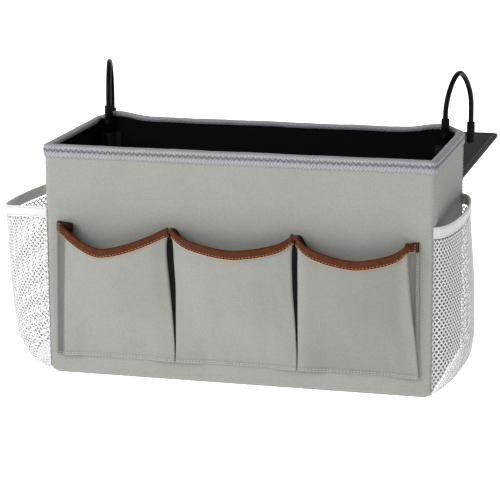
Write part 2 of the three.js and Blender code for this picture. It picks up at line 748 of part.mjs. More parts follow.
makeWalls();
add('rim_binding', rimBinding(), finish.tape);
makePockets();
makeFlap();
makeHooks();

export default model;
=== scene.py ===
import math

import bpy
import numpy as np
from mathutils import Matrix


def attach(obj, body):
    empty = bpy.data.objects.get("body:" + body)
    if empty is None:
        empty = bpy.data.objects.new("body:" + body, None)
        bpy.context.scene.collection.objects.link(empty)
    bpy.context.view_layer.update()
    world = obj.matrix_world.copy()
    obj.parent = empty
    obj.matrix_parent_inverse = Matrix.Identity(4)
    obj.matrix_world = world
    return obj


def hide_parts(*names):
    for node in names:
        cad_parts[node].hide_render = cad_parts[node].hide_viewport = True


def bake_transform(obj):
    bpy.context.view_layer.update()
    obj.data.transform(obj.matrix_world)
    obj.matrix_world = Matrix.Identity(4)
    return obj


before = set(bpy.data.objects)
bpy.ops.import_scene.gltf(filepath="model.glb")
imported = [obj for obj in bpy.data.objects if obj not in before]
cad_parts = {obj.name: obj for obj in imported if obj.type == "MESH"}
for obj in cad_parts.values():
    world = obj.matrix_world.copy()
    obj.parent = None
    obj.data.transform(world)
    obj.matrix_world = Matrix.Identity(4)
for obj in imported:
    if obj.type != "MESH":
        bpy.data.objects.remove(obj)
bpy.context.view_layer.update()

# Bedside caddy. Sizes below are in millimetres; addPiece and placed turn them into metres.
mm = 0.001
quarterTurn = math.pi / 2

view = {
    "azimuth": 14.9025, "elevation": 13.5499, "roll": -0.3715,     # degrees
    "focal": 2150.66, "picture": 500, "sensor": 36, "clipEnd": 20,  # focal length in pixels of the picture
    "place": (493.55, -1880.23, 576.51),
}


def unit(vectors):
    # Each vector divided by its length
    return vectors / np.maximum(np.linalg.norm(vectors, axis=-1, keepdims=True), 1e-9)


def placed(name, data, axes, place):
    # Puts a camera or lamp with the three given axes at a place
    matrix = np.eye(4)
    matrix[:3] = np.stack([*axes, np.array(place) * mm], 1)
    item = bpy.data.objects.new(name, data)
    item.matrix_world = matrix.T.tolist()
    bpy.context.scene.collection.objects.link(item)
    return item


def placeCamera():
    # The three camera axes: backwards from the two angles, sideways and up turned by the roll
    a, e, r = (math.radians(view[key]) for key in ("azimuth", "elevation", "roll"))
    back = np.array([math.sin(a) * math.cos(e), -math.cos(a) * math.cos(e), math.sin(e)])
    right = unit(np.cross(-back, [0, 0, 1]))
    up = np.cross(right, -back)
    axes = math.cos(r) * right + math.sin(r) * up, -math.sin(r) * right + math.cos(r) * up, back
    data = bpy.data.cameras.new("photoCamera")
    data.sensor_width = view["sensor"]
    data.lens = view["focal"] * view["sensor"] / view["picture"]
    data.clip_end = view["clipEnd"]
    bpy.context.scene.camera = placed("photoCamera", data, axes, view["place"])


placeCamera()
print("camera placed")

studio = {
    "floor": (0.86, 0.86, 0.86), "floorGlow": 1.1, "floorRough": 0.22, "reach": 18.0, "low": -0.25 * mm,
    "sky": (1.0, 1.0, 1.0), "skyPower": 0.41, "aim": (0, 0.05, 0.1),     # metres
    "lamps": {                                                     # place, size, power
        "key": ((-1300, -1750, 1250), 1500, 36),
        "side": ((1900, -900, 1300), 1400, 1),
        "back": ((-200, 1900, 1700), 1500, 18),
    },
}


def makeStudio():
    # A white world, three square lamps aimed at one point, and a pale floor that glows a little
    world = bpy.data.worlds.new("studio")
    world.use_nodes = True
    sky = world.node_tree.nodes["Background"]
    sky.inputs[0].default_value = (*studio["sky"], 1)
    sky.inputs[1].default_value = studio["skyPower"]
    bpy.context.scene.world = world
    bpy.context.scene.view_settings.view_transform = "Standard"
    for name, (place, size, power) in studio["lamps"].items():
        light = bpy.data.lights.new(name, "AREA")
        light.size = size * mm
        light.energy = power
        axisZ = unit(np.array(place) * mm - studio["aim"])
        axisX = unit(np.cross([0, 0, 1], axisZ))
        placed(name, light, (axisX, np.cross(axisZ, axisX), axisZ), place)
    reach, low = studio["reach"], studio["low"]
    mesh = bpy.data.meshes.new("floor")
    corners = [(-reach, -reach, low), (reach, -reach, low), (reach, reach, low), (-reach, reach, low)]
    mesh.from_pydata(corners, [], [(0, 1, 2, 3)])
    floor = bpy.data.objects.new("floor", mesh)
    bpy.context.scene.collection.objects.link(floor)
    look = bpy.data.materials.new("paleFloor")
    look.use_nodes = True
    shader = look.node_tree.nodes["Principled BSDF"]
    shader.inputs["Base Color"].default_value = (*studio["floor"], 1)
    shader.inputs["Roughness"].default_value = studio["floorRough"]
    shader.inputs["Emission Color"].default_value = (1, 1, 1, 1)
    shader.inputs["Emission Strength"].default_value = studio["floorGlow"]
    mesh.materials.append(look)


makeStudio()
print("studio lit")

current = {}                                   # the material, node tree and shader being made
# Painted shade: cloth and leather inside a pleat are darkened towards this tone
paintedShadeTone = 0.14                                # how dark cloth and leather get inside a pleat


# Node helpers: each adds one node to the current tree and gives its result

def node(kind, inputs=None, **settings):
    made = current["tree"].nodes.new(kind)
    for key, value in settings.items():
        setattr(made, key, value)
    for key, value in (inputs or {}).items():
        if isinstance(value, bpy.types.NodeSocket):
            current["tree"].links.new(value, made.inputs[key])
        else:
            made.inputs[key].default_value = value
    return made.outputs


def calc(operation, a, b=0.0, c=0.0):
    return node("ShaderNodeMath", {0: a, 1: b, 2: c}, operation=operation)[0]


def times(a, b):
    return calc("MULTIPLY", a, b)


def scaled(vector, amount):
    return node("ShaderNodeVectorMath", {0: vector, "Scale": amount}, operation="SCALE")[0]


def blended(factor, a, b):
    a, b = ((*value, 1) if isinstance(value, tuple) else value for value in (a, b))
    return node("ShaderNodeMix", {0: factor, 6: a, 7: b}, data_type="RGBA")[2]


def remapped(value, low, high, start=0.3, end=0.7):
    # From start to end becomes from low to high; a noise's useful range is 0.3 to 0.7
    return node("ShaderNodeMapRange", {0: value, 1: start, 2: end, 3: low, 4: high})[0]


def split(vector):
    return node("ShaderNodeSeparateXYZ", {0: vector})[:2]


def ridge(value, period):
    # 0 to 1 and back over each period
    return times(calc("PINGPONG", calc("DIVIDE", value, period), 0.5), 2.0)


def noiseAt(vector, scale, detail, rough=0.55):
    inputs = {"Vector": vector, "Scale": scale, "Detail": detail, "Roughness": rough}
    return node("ShaderNodeTexNoise", inputs)[0]


def placeIn(kind):
    # "UV", the cloth's own u and v, or "Object", in millimetres
    return scaled(node("ShaderNodeTexCoord")[kind], 1 / mm)


def withPaintedShade(shade):
    # Painted shade inside the pleats: shade times a factor that falls from 1 to the painted tone above as the
    # point's painted-shade attribute rises to 1
    deep = node("ShaderNodeAttribute", attribute_name="paintedFoldShade")["Fac"]
    return times(shade, remapped(deep, 1.0, paintedShadeTone, 0.0, 1.0))


def startLook(name, roughness, sheen, specular):
    # A material whose even values stand on the shader itself
    look = bpy.data.materials.new(name)
    look.use_nodes = True
    shader = look.node_tree.nodes["Principled BSDF"]
    shader.inputs["Roughness"].default_value = roughness
    shader.inputs["Sheen Weight"].default_value = sheen
    shader.inputs["Sheen Roughness"].default_value = 0.5
    shader.inputs["Specular IOR Level"].default_value = specular
    current.update(look=look, tree=look.node_tree, shader=shader)


def finishLook(colour, height, bump, depth, rough=None):
    # depth is the height of the relief in millimetres
    bumped = node("ShaderNodeBump", {"Strength": bump, "Distance": depth * mm, "Height": height})[0]
    for key, socket in (("Base Color", colour), ("Normal", bumped), ("Roughness", rough)):
        if socket is not None:
            current["tree"].links.new(socket, current["shader"].inputs[key])
    return current["look"]


def weave(place, pitch):
    # Plain weave: where the cell number is even the upright thread is on top, else the level one.
    # Height = (1 - across squared) * (1 - half of along squared), measured from the cell's middle.
    cells = scaled(place, 1 / pitch)
    x, y = split(cells)
    squares = []
    for axis in (x, y):
        middle = calc("SUBTRACT", calc("FRACT", axis), 0.5)
        squares.append(times(times(middle, middle), 4.0))
    parity = calc("ABSOLUTE", calc("MODULO", calc("ADD", calc("FLOOR", x), calc("FLOOR", y)), 2.0))
    over, under = (times(calc("SUBTRACT", 1.0, across), calc("MULTIPLY_ADD", along, -0.5, 1.0))
                   for across, along in (squares, squares[::-1]))
    height = node("ShaderNodeMix", {0: parity, 2: over, 3: under}, data_type="FLOAT")[0]
    whole = node("ShaderNodeVectorMath", {0: cells}, operation="FLOOR")[0]
    speck = node("ShaderNodeTexWhiteNoise", {"Vector": whole}, noise_dimensions="2D")[0]
    return height, parity, speck


def clothLook(name, colour, pitch, contrast=0.1, bump=0.2, check=0.04, specular=0.1, blotch=0.03,
              roughness=0.9):
    # Woven cloth: threads light on top and dark between, some yarns paler, with soft large blotches
    startLook(name, roughness, 0.0, specular)
    place = placeIn("UV")
    height, parity, speck = weave(place, pitch)
    fine = noiseAt(place, 0.9, 2.0)
    shade = calc("MULTIPLY_ADD", height, contrast, 1 - 0.75 * contrast)
    shade = times(shade, remapped(speck, 1 - contrast * 0.35, 1 + contrast * 0.35, 0.0, 1.0))
    shade = times(shade, remapped(noiseAt(place, 0.018, 4.0), 1 - blotch, 1 + blotch))
    # Painted shade inside the pleats comes last, on pieces that carry the attribute
    shade = withPaintedShade(times(shade, remapped(fine, 0.985, 1.015)))
    tint = blended(parity, tuple(c * (1 + check) for c in colour), tuple(c * (1 - check) for c in colour))
    return finishLook(scaled(tint, shade), calc("ADD", height, times(fine, 0.3)), bump, pitch * 0.3)


def herringboneLook(name, colour, dark, pitch):
    # Knitted tape: slanted ribs that change direction at every half band, dark at each turn
    startLook(name, 0.9, 0.0, 0.1)
    place = placeIn("UV")
    along, across = split(place)
    fold = calc("PINGPONG", across, pitch * 1.1)
    rib = remapped(ridge(calc("ADD", along, times(fold, 0.9)), pitch), 0.0, 1.0, 0.1, 0.9)
    turn = remapped(calc("DIVIDE", fold, pitch * 1.1), 0.45, 1.0, 0.0, 0.25)
    light = times(times(rib, turn), remapped(noiseAt(place, 1.4, 3.0), 0.75, 1.1))
    coloured = scaled(blended(light, dark, colour), remapped(noiseAt(place, 0.05, 2.0), 0.95, 1.05))
    return finishLook(coloured, light, 0.6, 0.35)


def leatherLook(name, colour, worn, paintedEdgeHighlight, roughness=0.5):
    # Smooth synthetic leather: fine pebble grain, streaky colour, a little paler where it is rubbed; v starts
    # at the strip's lower edge, where a painted highlight runs below a dark line of painted groove shade
    startLook(name, roughness, 0.0, 0.07)
    place = placeIn("UV")
    grain = node("ShaderNodeTexVoronoi", {"Vector": place, "Scale": 1.6}, feature="DISTANCE_TO_EDGE")[0]
    streak, fine = noiseAt(place, 0.22, 4.0), noiseAt(place, 2.2, 3.0)
    up = split(place)[1]
    coloured = blended(remapped(streak, 0.0, 0.8, 0.42, 0.72), colour, worn)
    # Painted highlight: the lowest millimetre of the strip turns pale orange
    coloured = blended(remapped(up, 1.0, 0.0, 0.8, 1.1), coloured, paintedEdgeHighlight)
    # Painted shade: a dark line 1.5 mm up the strip, where the stitch groove lies
    fromGrooveShade = calc("ABSOLUTE", calc("SUBTRACT", up, 1.5))
    shade = times(remapped(grain, 0.8, 1.0, 0.0, 0.25), remapped(fine, 0.93, 1.07))
    shade = withPaintedShade(times(shade, remapped(fromGrooveShade, 0.35, 1.0, 0.3, 0.6)))
    raised = calc("ADD", remapped(grain, 0.0, 1.0, 0.0, 0.2), times(fine, 0.4))
    rough = remapped(streak, roughness + 0.1, roughness - 0.08, 0.3, 0.75)
    return finishLook(scaled(coloured, shade), raised, 0.35, 0.12, rough)


def ribbedLook(name, colour, dark, pitch, sheen, depth):
    # Elastic or webbing: fine ribs along the tape crossed by a finer twill
    startLook(name, 0.8, sheen, 0.3)
    place = placeIn("UV")
    along, across = split(place)
    twill = ridge(calc("ADD", along, times(across, 0.6)), pitch * 0.7)
    raised = calc("ADD", times(ridge(across, pitch), 0.65), times(twill, 0.35))
    light = times(remapped(raised, 0.35, 1.0, 0.15, 0.7), remapped(noiseAt(place, 1.5, 3.0), 0.9, 1.05))
    return finishLook(blended(light, dark, colour), raised, 0.5, depth)


def threadLook(name, colour, dark, roughness=0.6):
    # Sewing thread or net yarn: a twist of plies along its length
    startLook(name, roughness, 0.3, 0.4)
    place = placeIn("Object")
    wave = {"Vector": place, "Scale": 1.1, "Distortion": 2.0, "Detail": 2.0}
    twist = node("ShaderNodeTexWave", wave, bands_direction="DIAGONAL")[1]
    light = times(remapped(twist, 0.55, 1.0, 0.0, 1.0), remapped(noiseAt(place, 1.2, 2.0), 0.88, 1.06))
    return finishLook(blended(light, dark, colour), twist, 0.3, 0.1)


def coatedLook(name, colour, rubbed, roughness, grain, specular):
    # Painted wire or moulded rubber: an even colour with faint mottling, fine pits and duller patches
    startLook(name, roughness, 0.0, specular)
    place = placeIn("Object")
    patches = noiseAt(place, 0.12, 4.0)
    coloured = blended(remapped(patches, 0.0, 1.0, 0.4, 0.75), colour, rubbed)
    return finishLook(coloured, noiseAt(place, 1.6, 4.0), grain, 0.08,
                      remapped(patches, roughness - 0.05, roughness + 0.1))


def boardLook(name, colour, dark):
    # Grey stiffener board: long pressed fibres and darker specks
    startLook(name, 0.85, 0.0, 0.3)
    place = placeIn("Object")
    fibres = noiseAt(place, 0.5, 5.0, 0.7)
    light = times(remapped(fibres, 0.3, 1.0), remapped(noiseAt(place, 1.8, 2.0), 0.6, 1.0, 0.3, 0.6))
    return finishLook(blended(light, dark, colour), fibres, 0.3, 0.1)


looks = {
    "cloth": clothLook("greyOxford", (0.294, 0.299, 0.274), 1.5),
    # Painted shade: the same grey oxford as the walls, made a little darker for the pockets
    "shadedPocketCloth": clothLook("greyOxfordPocketShaded", (0.276, 0.281, 0.257), 1.5),
    "binding": herringboneLook("rimTape", (0.365, 0.375, 0.385), (0.24, 0.245, 0.26), 3.0),
    "lining": clothLook("blackLining", (0.006, 0.006, 0.007), 0.7, contrast=0.5, bump=0.5, check=0.015,
                        specular=0.02, roughness=0.85),
    "flap": clothLook("charcoalCloth", (0.034, 0.030, 0.030), 0.6, contrast=0.35, bump=0.3, check=0.015,
                      specular=0.06, blotch=0.1),
    "trim": leatherLook("brownTrim", (0.080, 0.022, 0.008), (0.115, 0.038, 0.015), (0.50, 0.29, 0.17)),
    "net": threadLook("netYarn", (0.66, 0.66, 0.65), (0.50, 0.50, 0.51), 0.7),
    "elastic": ribbedLook("whiteElastic", (0.66, 0.66, 0.64), (0.50, 0.50, 0.49), 1.1, 0.2, 0.2),
    "webbing": ribbedLook("blackWebbing", (0.009, 0.009, 0.010), (0.003, 0.003, 0.004), 1.2, 0.0, 0.3),
    "wire": coatedLook("blackCoating", (0.003, 0.003, 0.004), (0.006, 0.006, 0.007), 0.3, 0.1, 0.08),
    "rubber": coatedLook("blackRubber", (0.004, 0.004, 0.005), (0.008, 0.008, 0.009), 0.55, 0.35, 0.06),
    "board": boardLook("greyBoard", (0.32, 0.31, 0.29), (0.16, 0.155, 0.145)),
}
for name, light, dark in (
        ("greyThread", (0.43, 0.44, 0.41), (0.32, 0.33, 0.31)),
        ("tapeThread", (0.16, 0.165, 0.20), (0.09, 0.09, 0.115)),
        ("tanThread", (0.36, 0.23, 0.14), (0.20, 0.11, 0.06)),
        ("paleThread", (0.40, 0.33, 0.28), (0.26, 0.20, 0.16)),
        ("brownThread", (0.10, 0.035, 0.02), (0.04, 0.015, 0.01)),
        ("whiteThread", (0.62, 0.62, 0.61), (0.45, 0.45, 0.45)),
        ("blackThread", (0.03, 0.03, 0.032), (0.01, 0.01, 0.011))):
    looks[name] = threadLook(name, light, dark)
print("materials made")


# Mesh tools

def joined(*values):
    # x, y and z, or u and v, spread over one grid
    return np.stack(np.broadcast_arrays(*values), -1).astype(float)


def mixed(a, b, t):
    # From a to b as t runs from 0 to 1
    return a + (b - a) * t


def quadGrid(ids):
    # The four corners of every cell in a grid of point numbers
    return np.stack([ids[:-1, :-1], ids[:-1, 1:], ids[1:, 1:], ids[1:, :-1]], -1).reshape(-1, 4)


def wrapped(rows, sides, both=False):
    # Rings of points and the faces between them; both also joins the last ring to the first
    ids = np.arange(rows * sides).reshape(rows, sides)
    loop = np.vstack([ids, ids[:1]]) if both else ids
    return ids, quadGrid(np.hstack([loop, loop[:, :1]]))


def cornerUv(uv):
    # A grid's u and v, one pair for every corner of its faces
    rows, cols = uv.shape[:2]
    return uv.reshape(-1, 2)[quadGrid(np.arange(rows * cols).reshape(rows, cols))].reshape(-1, 2)


def smoothed(rise):
    # 3 t squared - 2 t cubed, with t held between 0 and 1
    t = np.clip(rise, 0, 1)
    return t * t * (3 - 2 * t)


def bell(value, middle, width):
    # exp(-((value - middle) / width) squared)
    return np.exp(-((value - middle) / width) ** 2)


def ripples(points, length, seed, count=7):
    # A sum of sine waves of seeded direction, length and phase, between about -1 and 1
    rng = np.random.default_rng(seed)
    total = np.zeros(points.shape[:-1])
    for _ in range(count):
        direction = rng.normal(size=points.shape[-1])
        direction /= np.linalg.norm(direction)
        pace = 2 * math.pi / length
        total += np.sin(points @ direction * pace * rng.uniform(0.6, 1.7) + rng.uniform(0, 2 * math.pi))
    return total / math.sqrt(count)


def pathLength(points):
    # How far along the line each point lies: the running sum of the steps
    steps = np.linalg.norm(np.diff(points, axis=0), axis=1)
    return np.concatenate([[0], np.cumsum(steps)])


def sampled(at, run, values):
    # Each column of values read off, in straight lines between them, at the given distances
    return np.stack([np.interp(at, run, column) for column in values.T], 1)


def resample(points, spacing):
    # The same line, with points at even distances
    run = pathLength(points)
    count = max(int(round(run[-1] / spacing)), 1) + 1
    return sampled(np.linspace(0, run[-1], count), run, points)


def ringOf(first, second, sides):
    # Round each point: cosine along the first direction, sine along the second
    turn = np.arange(sides) * 2 * math.pi / sides
    return first[:, None] * np.cos(turn)[None, :, None] + second[:, None] * np.sin(turn)[None, :, None]


def signedVolume(mesh):
    # A sixth of the sum of corner a dot (corner b cross corner c) over the triangles
    mesh.calc_loop_triangles()
    corners = np.zeros(len(mesh.loop_triangles) * 3, np.int32)
    mesh.loop_triangles.foreach_get("vertices", corners)
    places = np.zeros(len(mesh.vertices) * 3, np.float32)
    mesh.vertices.foreach_get("co", places)
    a, b, c = places.reshape(-1, 3).astype(float)[corners.reshape(-1, 3)].transpose(1, 0, 2)
    return float(np.einsum("ij,ij->i", a, np.cross(b, c)).sum() / 6)


def addPiece(name, points, faces, uvs, look, stands="", body="caddy", sharp=40.0):
    # A mesh in metres with its look, body and the node it stands for, turned outward where its volume is
    # negative
    points = np.asarray(points, float).reshape(-1, 3)
    mesh = bpy.data.meshes.new(name)
    mesh.from_pydata((points * mm).tolist(), [], faces.tolist() if isinstance(faces, np.ndarray) else faces)
    if uvs is not None:
        layer = mesh.uv_layers.new(name="UVMap")
        layer.data.foreach_set("uv", (np.asarray(uvs, float) * mm).astype(np.float32).reshape(-1))
    mesh.polygons.foreach_set("use_smooth", np.ones(len(mesh.polygons), bool))
    mesh.set_sharp_from_angle(angle=math.radians(sharp))
    mesh.materials.append(looks[look])
    mesh.update()
    piece = bpy.data.objects.new(name, mesh)
    bpy.context.scene.collection.objects.link(piece)
    if signedVolume(mesh) < 0:
        mesh.flip_normals()
    if body:
        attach(piece, body)
    if stands:
        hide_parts(stands)
    return piece


def addPaintedShade(piece, values):
    # One number per point: how much painted shade it gets where it lies deep in a fold, read by the cloth's and
    # the leather's look
    layer = piece.data.attributes.new("paintedFoldShade", "FLOAT", "POINT")
    layer.data.foreach_set("value", np.asarray(values, np.float32))


def clothFaces(rows, cols):
    # Front and back of a sheet and the four strips round its edge, as indices into front then back points
    front = np.arange(rows * cols).reshape(rows, cols)
    back = front + rows * cols
    return np.concatenate([
        quadGrid(front), quadGrid(back)[:, ::-1],
        np.stack([back[0, :-1], back[0, 1:], front[0, 1:], front[0, :-1]], -1),
        np.stack([front[-1, :-1], front[-1, 1:], back[-1, 1:], back[-1, :-1]], -1),
        np.stack([front[:-1, 0], front[1:, 0], back[1:, 0], back[:-1, 0]], -1),
        np.stack([back[:-1, -1], back[1:, -1], front[1:, -1], front[:-1, -1]], -1),
    ])


def gridNormals(grid):
    # Cross product of the grid's two directions, made unit length
    return unit(np.cross(np.gradient(grid, axis=1), np.gradient(grid, axis=0)))


def addCloth(name, middle, uv, thickness, look, stands, body="caddy", sharp=50.0):
    # A sheet: the middle grid moved half the thickness each way along its normals
    half = gridNormals(middle) * thickness / 2
    points = np.concatenate([(middle + half).reshape(-1, 3), (middle - half).reshape(-1, 3)])
    faces = clothFaces(*middle.shape[:2])
    flat = np.concatenate([uv.reshape(-1, 2)] * 2)
    return addPiece(name, points, faces, flat[faces], look, stands, body, sharp=sharp)


def addRings(name, points, look, stands, body):
    # Closed rings skinned one after another, with the first and last ring filled
    rows, sides = points.shape[:2]
    ids, faces = wrapped(rows, sides)
    girth = np.arange(sides + 1) * np.linalg.norm(points[rows // 2, 1] - points[rows // 2, 0])
    uv = joined(pathLength(points.mean(1))[:, None], girth[None])
    uvs = np.concatenate([cornerUv(uv), np.repeat(uv[0, :1], sides, 0), np.repeat(uv[-1, -1:], sides, 0)])
    ends = [ids[0, ::-1].tolist(), ids[-1].tolist()]
    return addPiece(name, points, faces.tolist() + ends, uvs, look, stands, body)


def addFolded(name, points, outside, run, girth, look, stands, body="caddy"):
    # A U section carried along a path. points is path by section; the section's first `outside` points are
    # its outside and the rest its inside, run backwards. A strip of faces across the U closes each end.
    rows, sides = points.shape[:2]
    ids, faces = wrapped(rows, sides)
    faces = faces.tolist()
    corners = [cornerUv(joined(run[:, None], girth[None]))]
    inside = sides - outside
    pick = np.linspace(0, outside - 1, inside).round().astype(int)
    for row, turned in ((0, True), (rows - 1, False)):
        outerIds, innerIds = ids[row, :outside].tolist(), ids[row, outside:][::-1].tolist()
        for k in range(inside - 1):
            face = outerIds[pick[k]:pick[k + 1] + 1] + [innerIds[k + 1], innerIds[k]]
            faces.append(face[::-1] if turned else face)
            corners.append(np.zeros((len(face), 2)))
    return addPiece(name, points, faces, np.concatenate(corners), look, stands, body, sharp=50)


def addStitches(name, rowsOfThread, lift, radius, look, body="caddy"):
    # Each stitch is a short thread from start to end that rises by lift in the middle.
    # Centre line = straight line + lift * (1 - t squared) * outward; radius falls to nothing at both ends.
    starts, ends, outward = (np.concatenate(group).astype(float) for group in zip(*rowsOfThread))
    t = np.array([-1, -0.9, -0.5, 0, 0.5, 0.9, 1.0])
    along = unit(ends - starts)
    outward = unit(outward - along * (outward * along).sum(1, keepdims=True))
    share = ((t + 1) / 2)[None, :, None]
    line = starts[:, None] * (1 - share) + ends[:, None] * share
    line = line + outward[:, None] * (lift * (1 - t ** 2))[None, :, None]
    thick = radius * np.array([0.15, 0.7, 1, 1, 1, 0.7, 0.15])
    ring = ringOf(np.cross(along, outward), outward, 6)
    points = line[:, :, None] + ring[:, None] * thick[None, :, None, None]
    ids, one = wrapped(len(t), 6)
    offsets = np.arange(len(starts)) * ids.size
    faces = (one[None] + offsets[:, None, None]).reshape(-1, 4).tolist()
    for end in (ids[0, ::-1], ids[-1]):
        faces += (end[None] + offsets[:, None]).tolist()
    return addPiece(name, points, faces, None, look, body=body)


def seamOf(path, outward, length, space, sink=0.0):
    # Even stitches along a path: starts and ends one stitch length apart, with a space between
    pitch = length + space
    run = pathLength(path)
    count = max(int(run[-1] / pitch), 1)
    first = (run[-1] - count * pitch + space) / 2 + np.arange(count) * pitch
    normal = sampled(first + length / 2, run, np.broadcast_to(outward, path.shape))
    return sampled(first, run, path) - normal * sink, sampled(first + length, run, path) - normal * sink, normal


def zigzag(path, outward, sideways, width, pitch):
    # Stitches that swing from one side of the path to the other, as a bar tack does
    run = pathLength(path)
    count = max(int(run[-1] / pitch), 2)
    centre = sampled(np.linspace(0, run[-1], count + 1), run, path)
    swing = np.where(np.arange(count + 1) % 2 == 0, -0.5, 0.5)[:, None] * width
    points = centre + swing * np.array(sideways)
    return points[:-1], points[1:], np.broadcast_to(outward, (count, 3))


# Shell: the outer cloth, a box with rounded upright corners and a rounded bottom edge

box = {
    "halfX": 180, "halfY": 75, "corner": 5, "cloth": 1.0, "endRound": 8, "frontRound": 3, "seamIn": 1,
    "foot": 1.3, "top": 213.6, "wave": 0.3, "turnedUnder": 0.45, "stitch": (2.4, 0.9),
}
wallThickness = 4.4
seamY = box["halfY"] - box["corner"] - box["seamIn"]
rim = {
    "top": 214.4, "outer": 11.9, "inner": 4.4, "leg": 1.2, "rib": 0.3, "pitch": 6.5, "roll": 2.2, "gap": 0.3,
    "backRise": 2.0, "hookRise": 4.2, "hookAt": 156, "hookWide": 18, "zigWide": 4.0, "innerZigWide": 1.8,
    "zigPitch": 2.5, "edgeUp": 1.1, "stitch": (1.3, 2.9),
}


def rimRise(x, y):
    # How much higher the rim sits along the back, where the hooks draw it up:
    # rise = back + hook * exp(-(distance from the pull / its width) squared), dying out at the corners
    inside = smoothed((box["halfX"] + 4 - abs(x)) / 19)
    pulled = rim["backRise"] + rim["hookRise"] * bell(abs(x), rim["hookAt"], rim["hookWide"])
    return inside * smoothed((y - 55) / 12) * pulled


def wallRise(grid):
    # The walls' upper 60 mm stretch with the rim
    return rimRise(grid[..., 0], grid[..., 1]) * smoothed((grid[..., 2] - 150) / 60)


def drawnIn(z, radius):
    # Circle rounding: radius - sqrt(radius squared - distance below the arc's top squared)
    below = np.maximum(radius - z, 0)
    return radius - np.sqrt(radius ** 2 - below ** 2)


def wallRows():
    # Heights of the wall's rows, and how much the cloth may wave there
    z = np.concatenate([np.linspace(box["foot"], 10, 12), np.linspace(13, box["top"], 64)])[:, None]
    return z, smoothed((z - 6) / 15) * smoothed((box["top"] - z) / 12)


def longCloth(name, side, stands, seed):
    # Plan line round both corners, carried up the height; narrower where the bottom edge is round.
    # Seen from above: straight face, quarter circles, then the short return to the side seam.
    r, half = box["corner"], box["cloth"] / 2
    cornerX, cornerY = box["halfX"] - r, box["halfY"] - r
    arc = np.linspace(0, quarterTurn, 12)
    corner = joined(cornerX + (r - half) * np.cos(arc), cornerY + (r - half) * np.sin(arc))
    right = np.concatenate([joined(box["halfX"] - half, [seamY, seamY + 0.5]), corner])
    face = joined(np.linspace(cornerX, -cornerX, 111)[1:-1], box["halfY"] - half)
    plan = np.concatenate([right, face, (right * [-1, 1])[::-1]])
    z, calm = wallRows()
    shrinkX = 1 - drawnIn(z, box["endRound"]) / box["halfX"]
    shrinkY = 1 - drawnIn(z, box["frontRound"]) / box["halfY"]
    grid = joined(plan[:, 0] * shrinkX, plan[:, 1] * shrinkY * side, z)
    normal = gridNormals(grid) * side
    run = pathLength(plan)
    fromEdge = np.minimum(run, run[-1] - run)
    fold = box["turnedUnder"] * (1 - smoothed(fromEdge - 2.2))     # the seam allowance turned under
    swell = box["wave"] * ripples(grid, 95, seed) * calm
    outward = np.sign(grid[..., 1:2] * normal[..., 1:2] + grid[..., 0:1] * normal[..., 0:1] * 0.2)
    grid += normal * outward * (fold + swell)[..., None]
    grid[..., 2] += wallRise(grid)
    addCloth(name, grid, joined(run, z), box["cloth"], "cloth", stands)


def endCloth(name, side, stands, seed):
    # A flat face between the two side seams, drawn in at the rounded bottom edge
    y = np.linspace(-(seamY - 0.3), seamY - 0.3, 60)
    z, calm = wallRows()
    swell = box["wave"] * ripples(joined(0, y, z), 80, seed) * calm * smoothed((seamY - abs(y)) / 20)
    x = side * (box["halfX"] - box["cloth"] / 2 - drawnIn(z, box["endRound"]) + swell)
    addCloth(name, joined(x, y, z), joined(y, z), box["cloth"], "cloth", stands)


def plate(halfX, halfY, radius, z, columns, rows):
    # A flat rectangle with round corners: at each y the half width shrinks by the corner's circle
    bend = radius * (1 - np.cos(np.linspace(0, quarterTurn, 6)))[:-1]
    y = np.concatenate([np.linspace(-halfY, halfY, rows), halfY - bend, -halfY + bend])
    y = np.unique(np.round(y, 4))[:, None]
    over = np.maximum(abs(y) - (halfY - radius), 0)
    wide = halfX - (radius - np.sqrt(np.maximum(radius ** 2 - over ** 2, 0)))
    return joined(wide * np.linspace(-1, 1, columns), y, z)


def makeShell():
    # Four walls and a base, with top stitching beside each upright seam, on the end faces
    longCloth("frontCloth", -1, "front_panel", 3)
    longCloth("backCloth", 1, "back_panel", 4)
    endCloth("rightCloth", 1, "right_panel", 5)
    endCloth("leftCloth", -1, "left_panel", 6)
    floor = plate(box["halfX"] - 5.0, box["halfY"] - 1.2, 5, 0.5, 90, 40)
    addCloth("baseCloth", floor, floor[..., :2], box["cloth"], "cloth", "base_panel")
    z = np.linspace(14, 198, 200)
    rows = []
    for sideX in (-1, 1):
        for sideY in (-1, 1):
            path = joined(sideX * (box["halfX"] + 0.25), sideY * (seamY + 1.3), z)
            rows.append(seamOf(path, (sideX, 0, 0), *box["stitch"]))
    addStitches("seamStitches", rows, 0.12, 0.2, "greyThread")


makeShell()
print("shell made")

liningCloth = {"thick": 0.8, "wave": 0.35, "foot": 3.6}


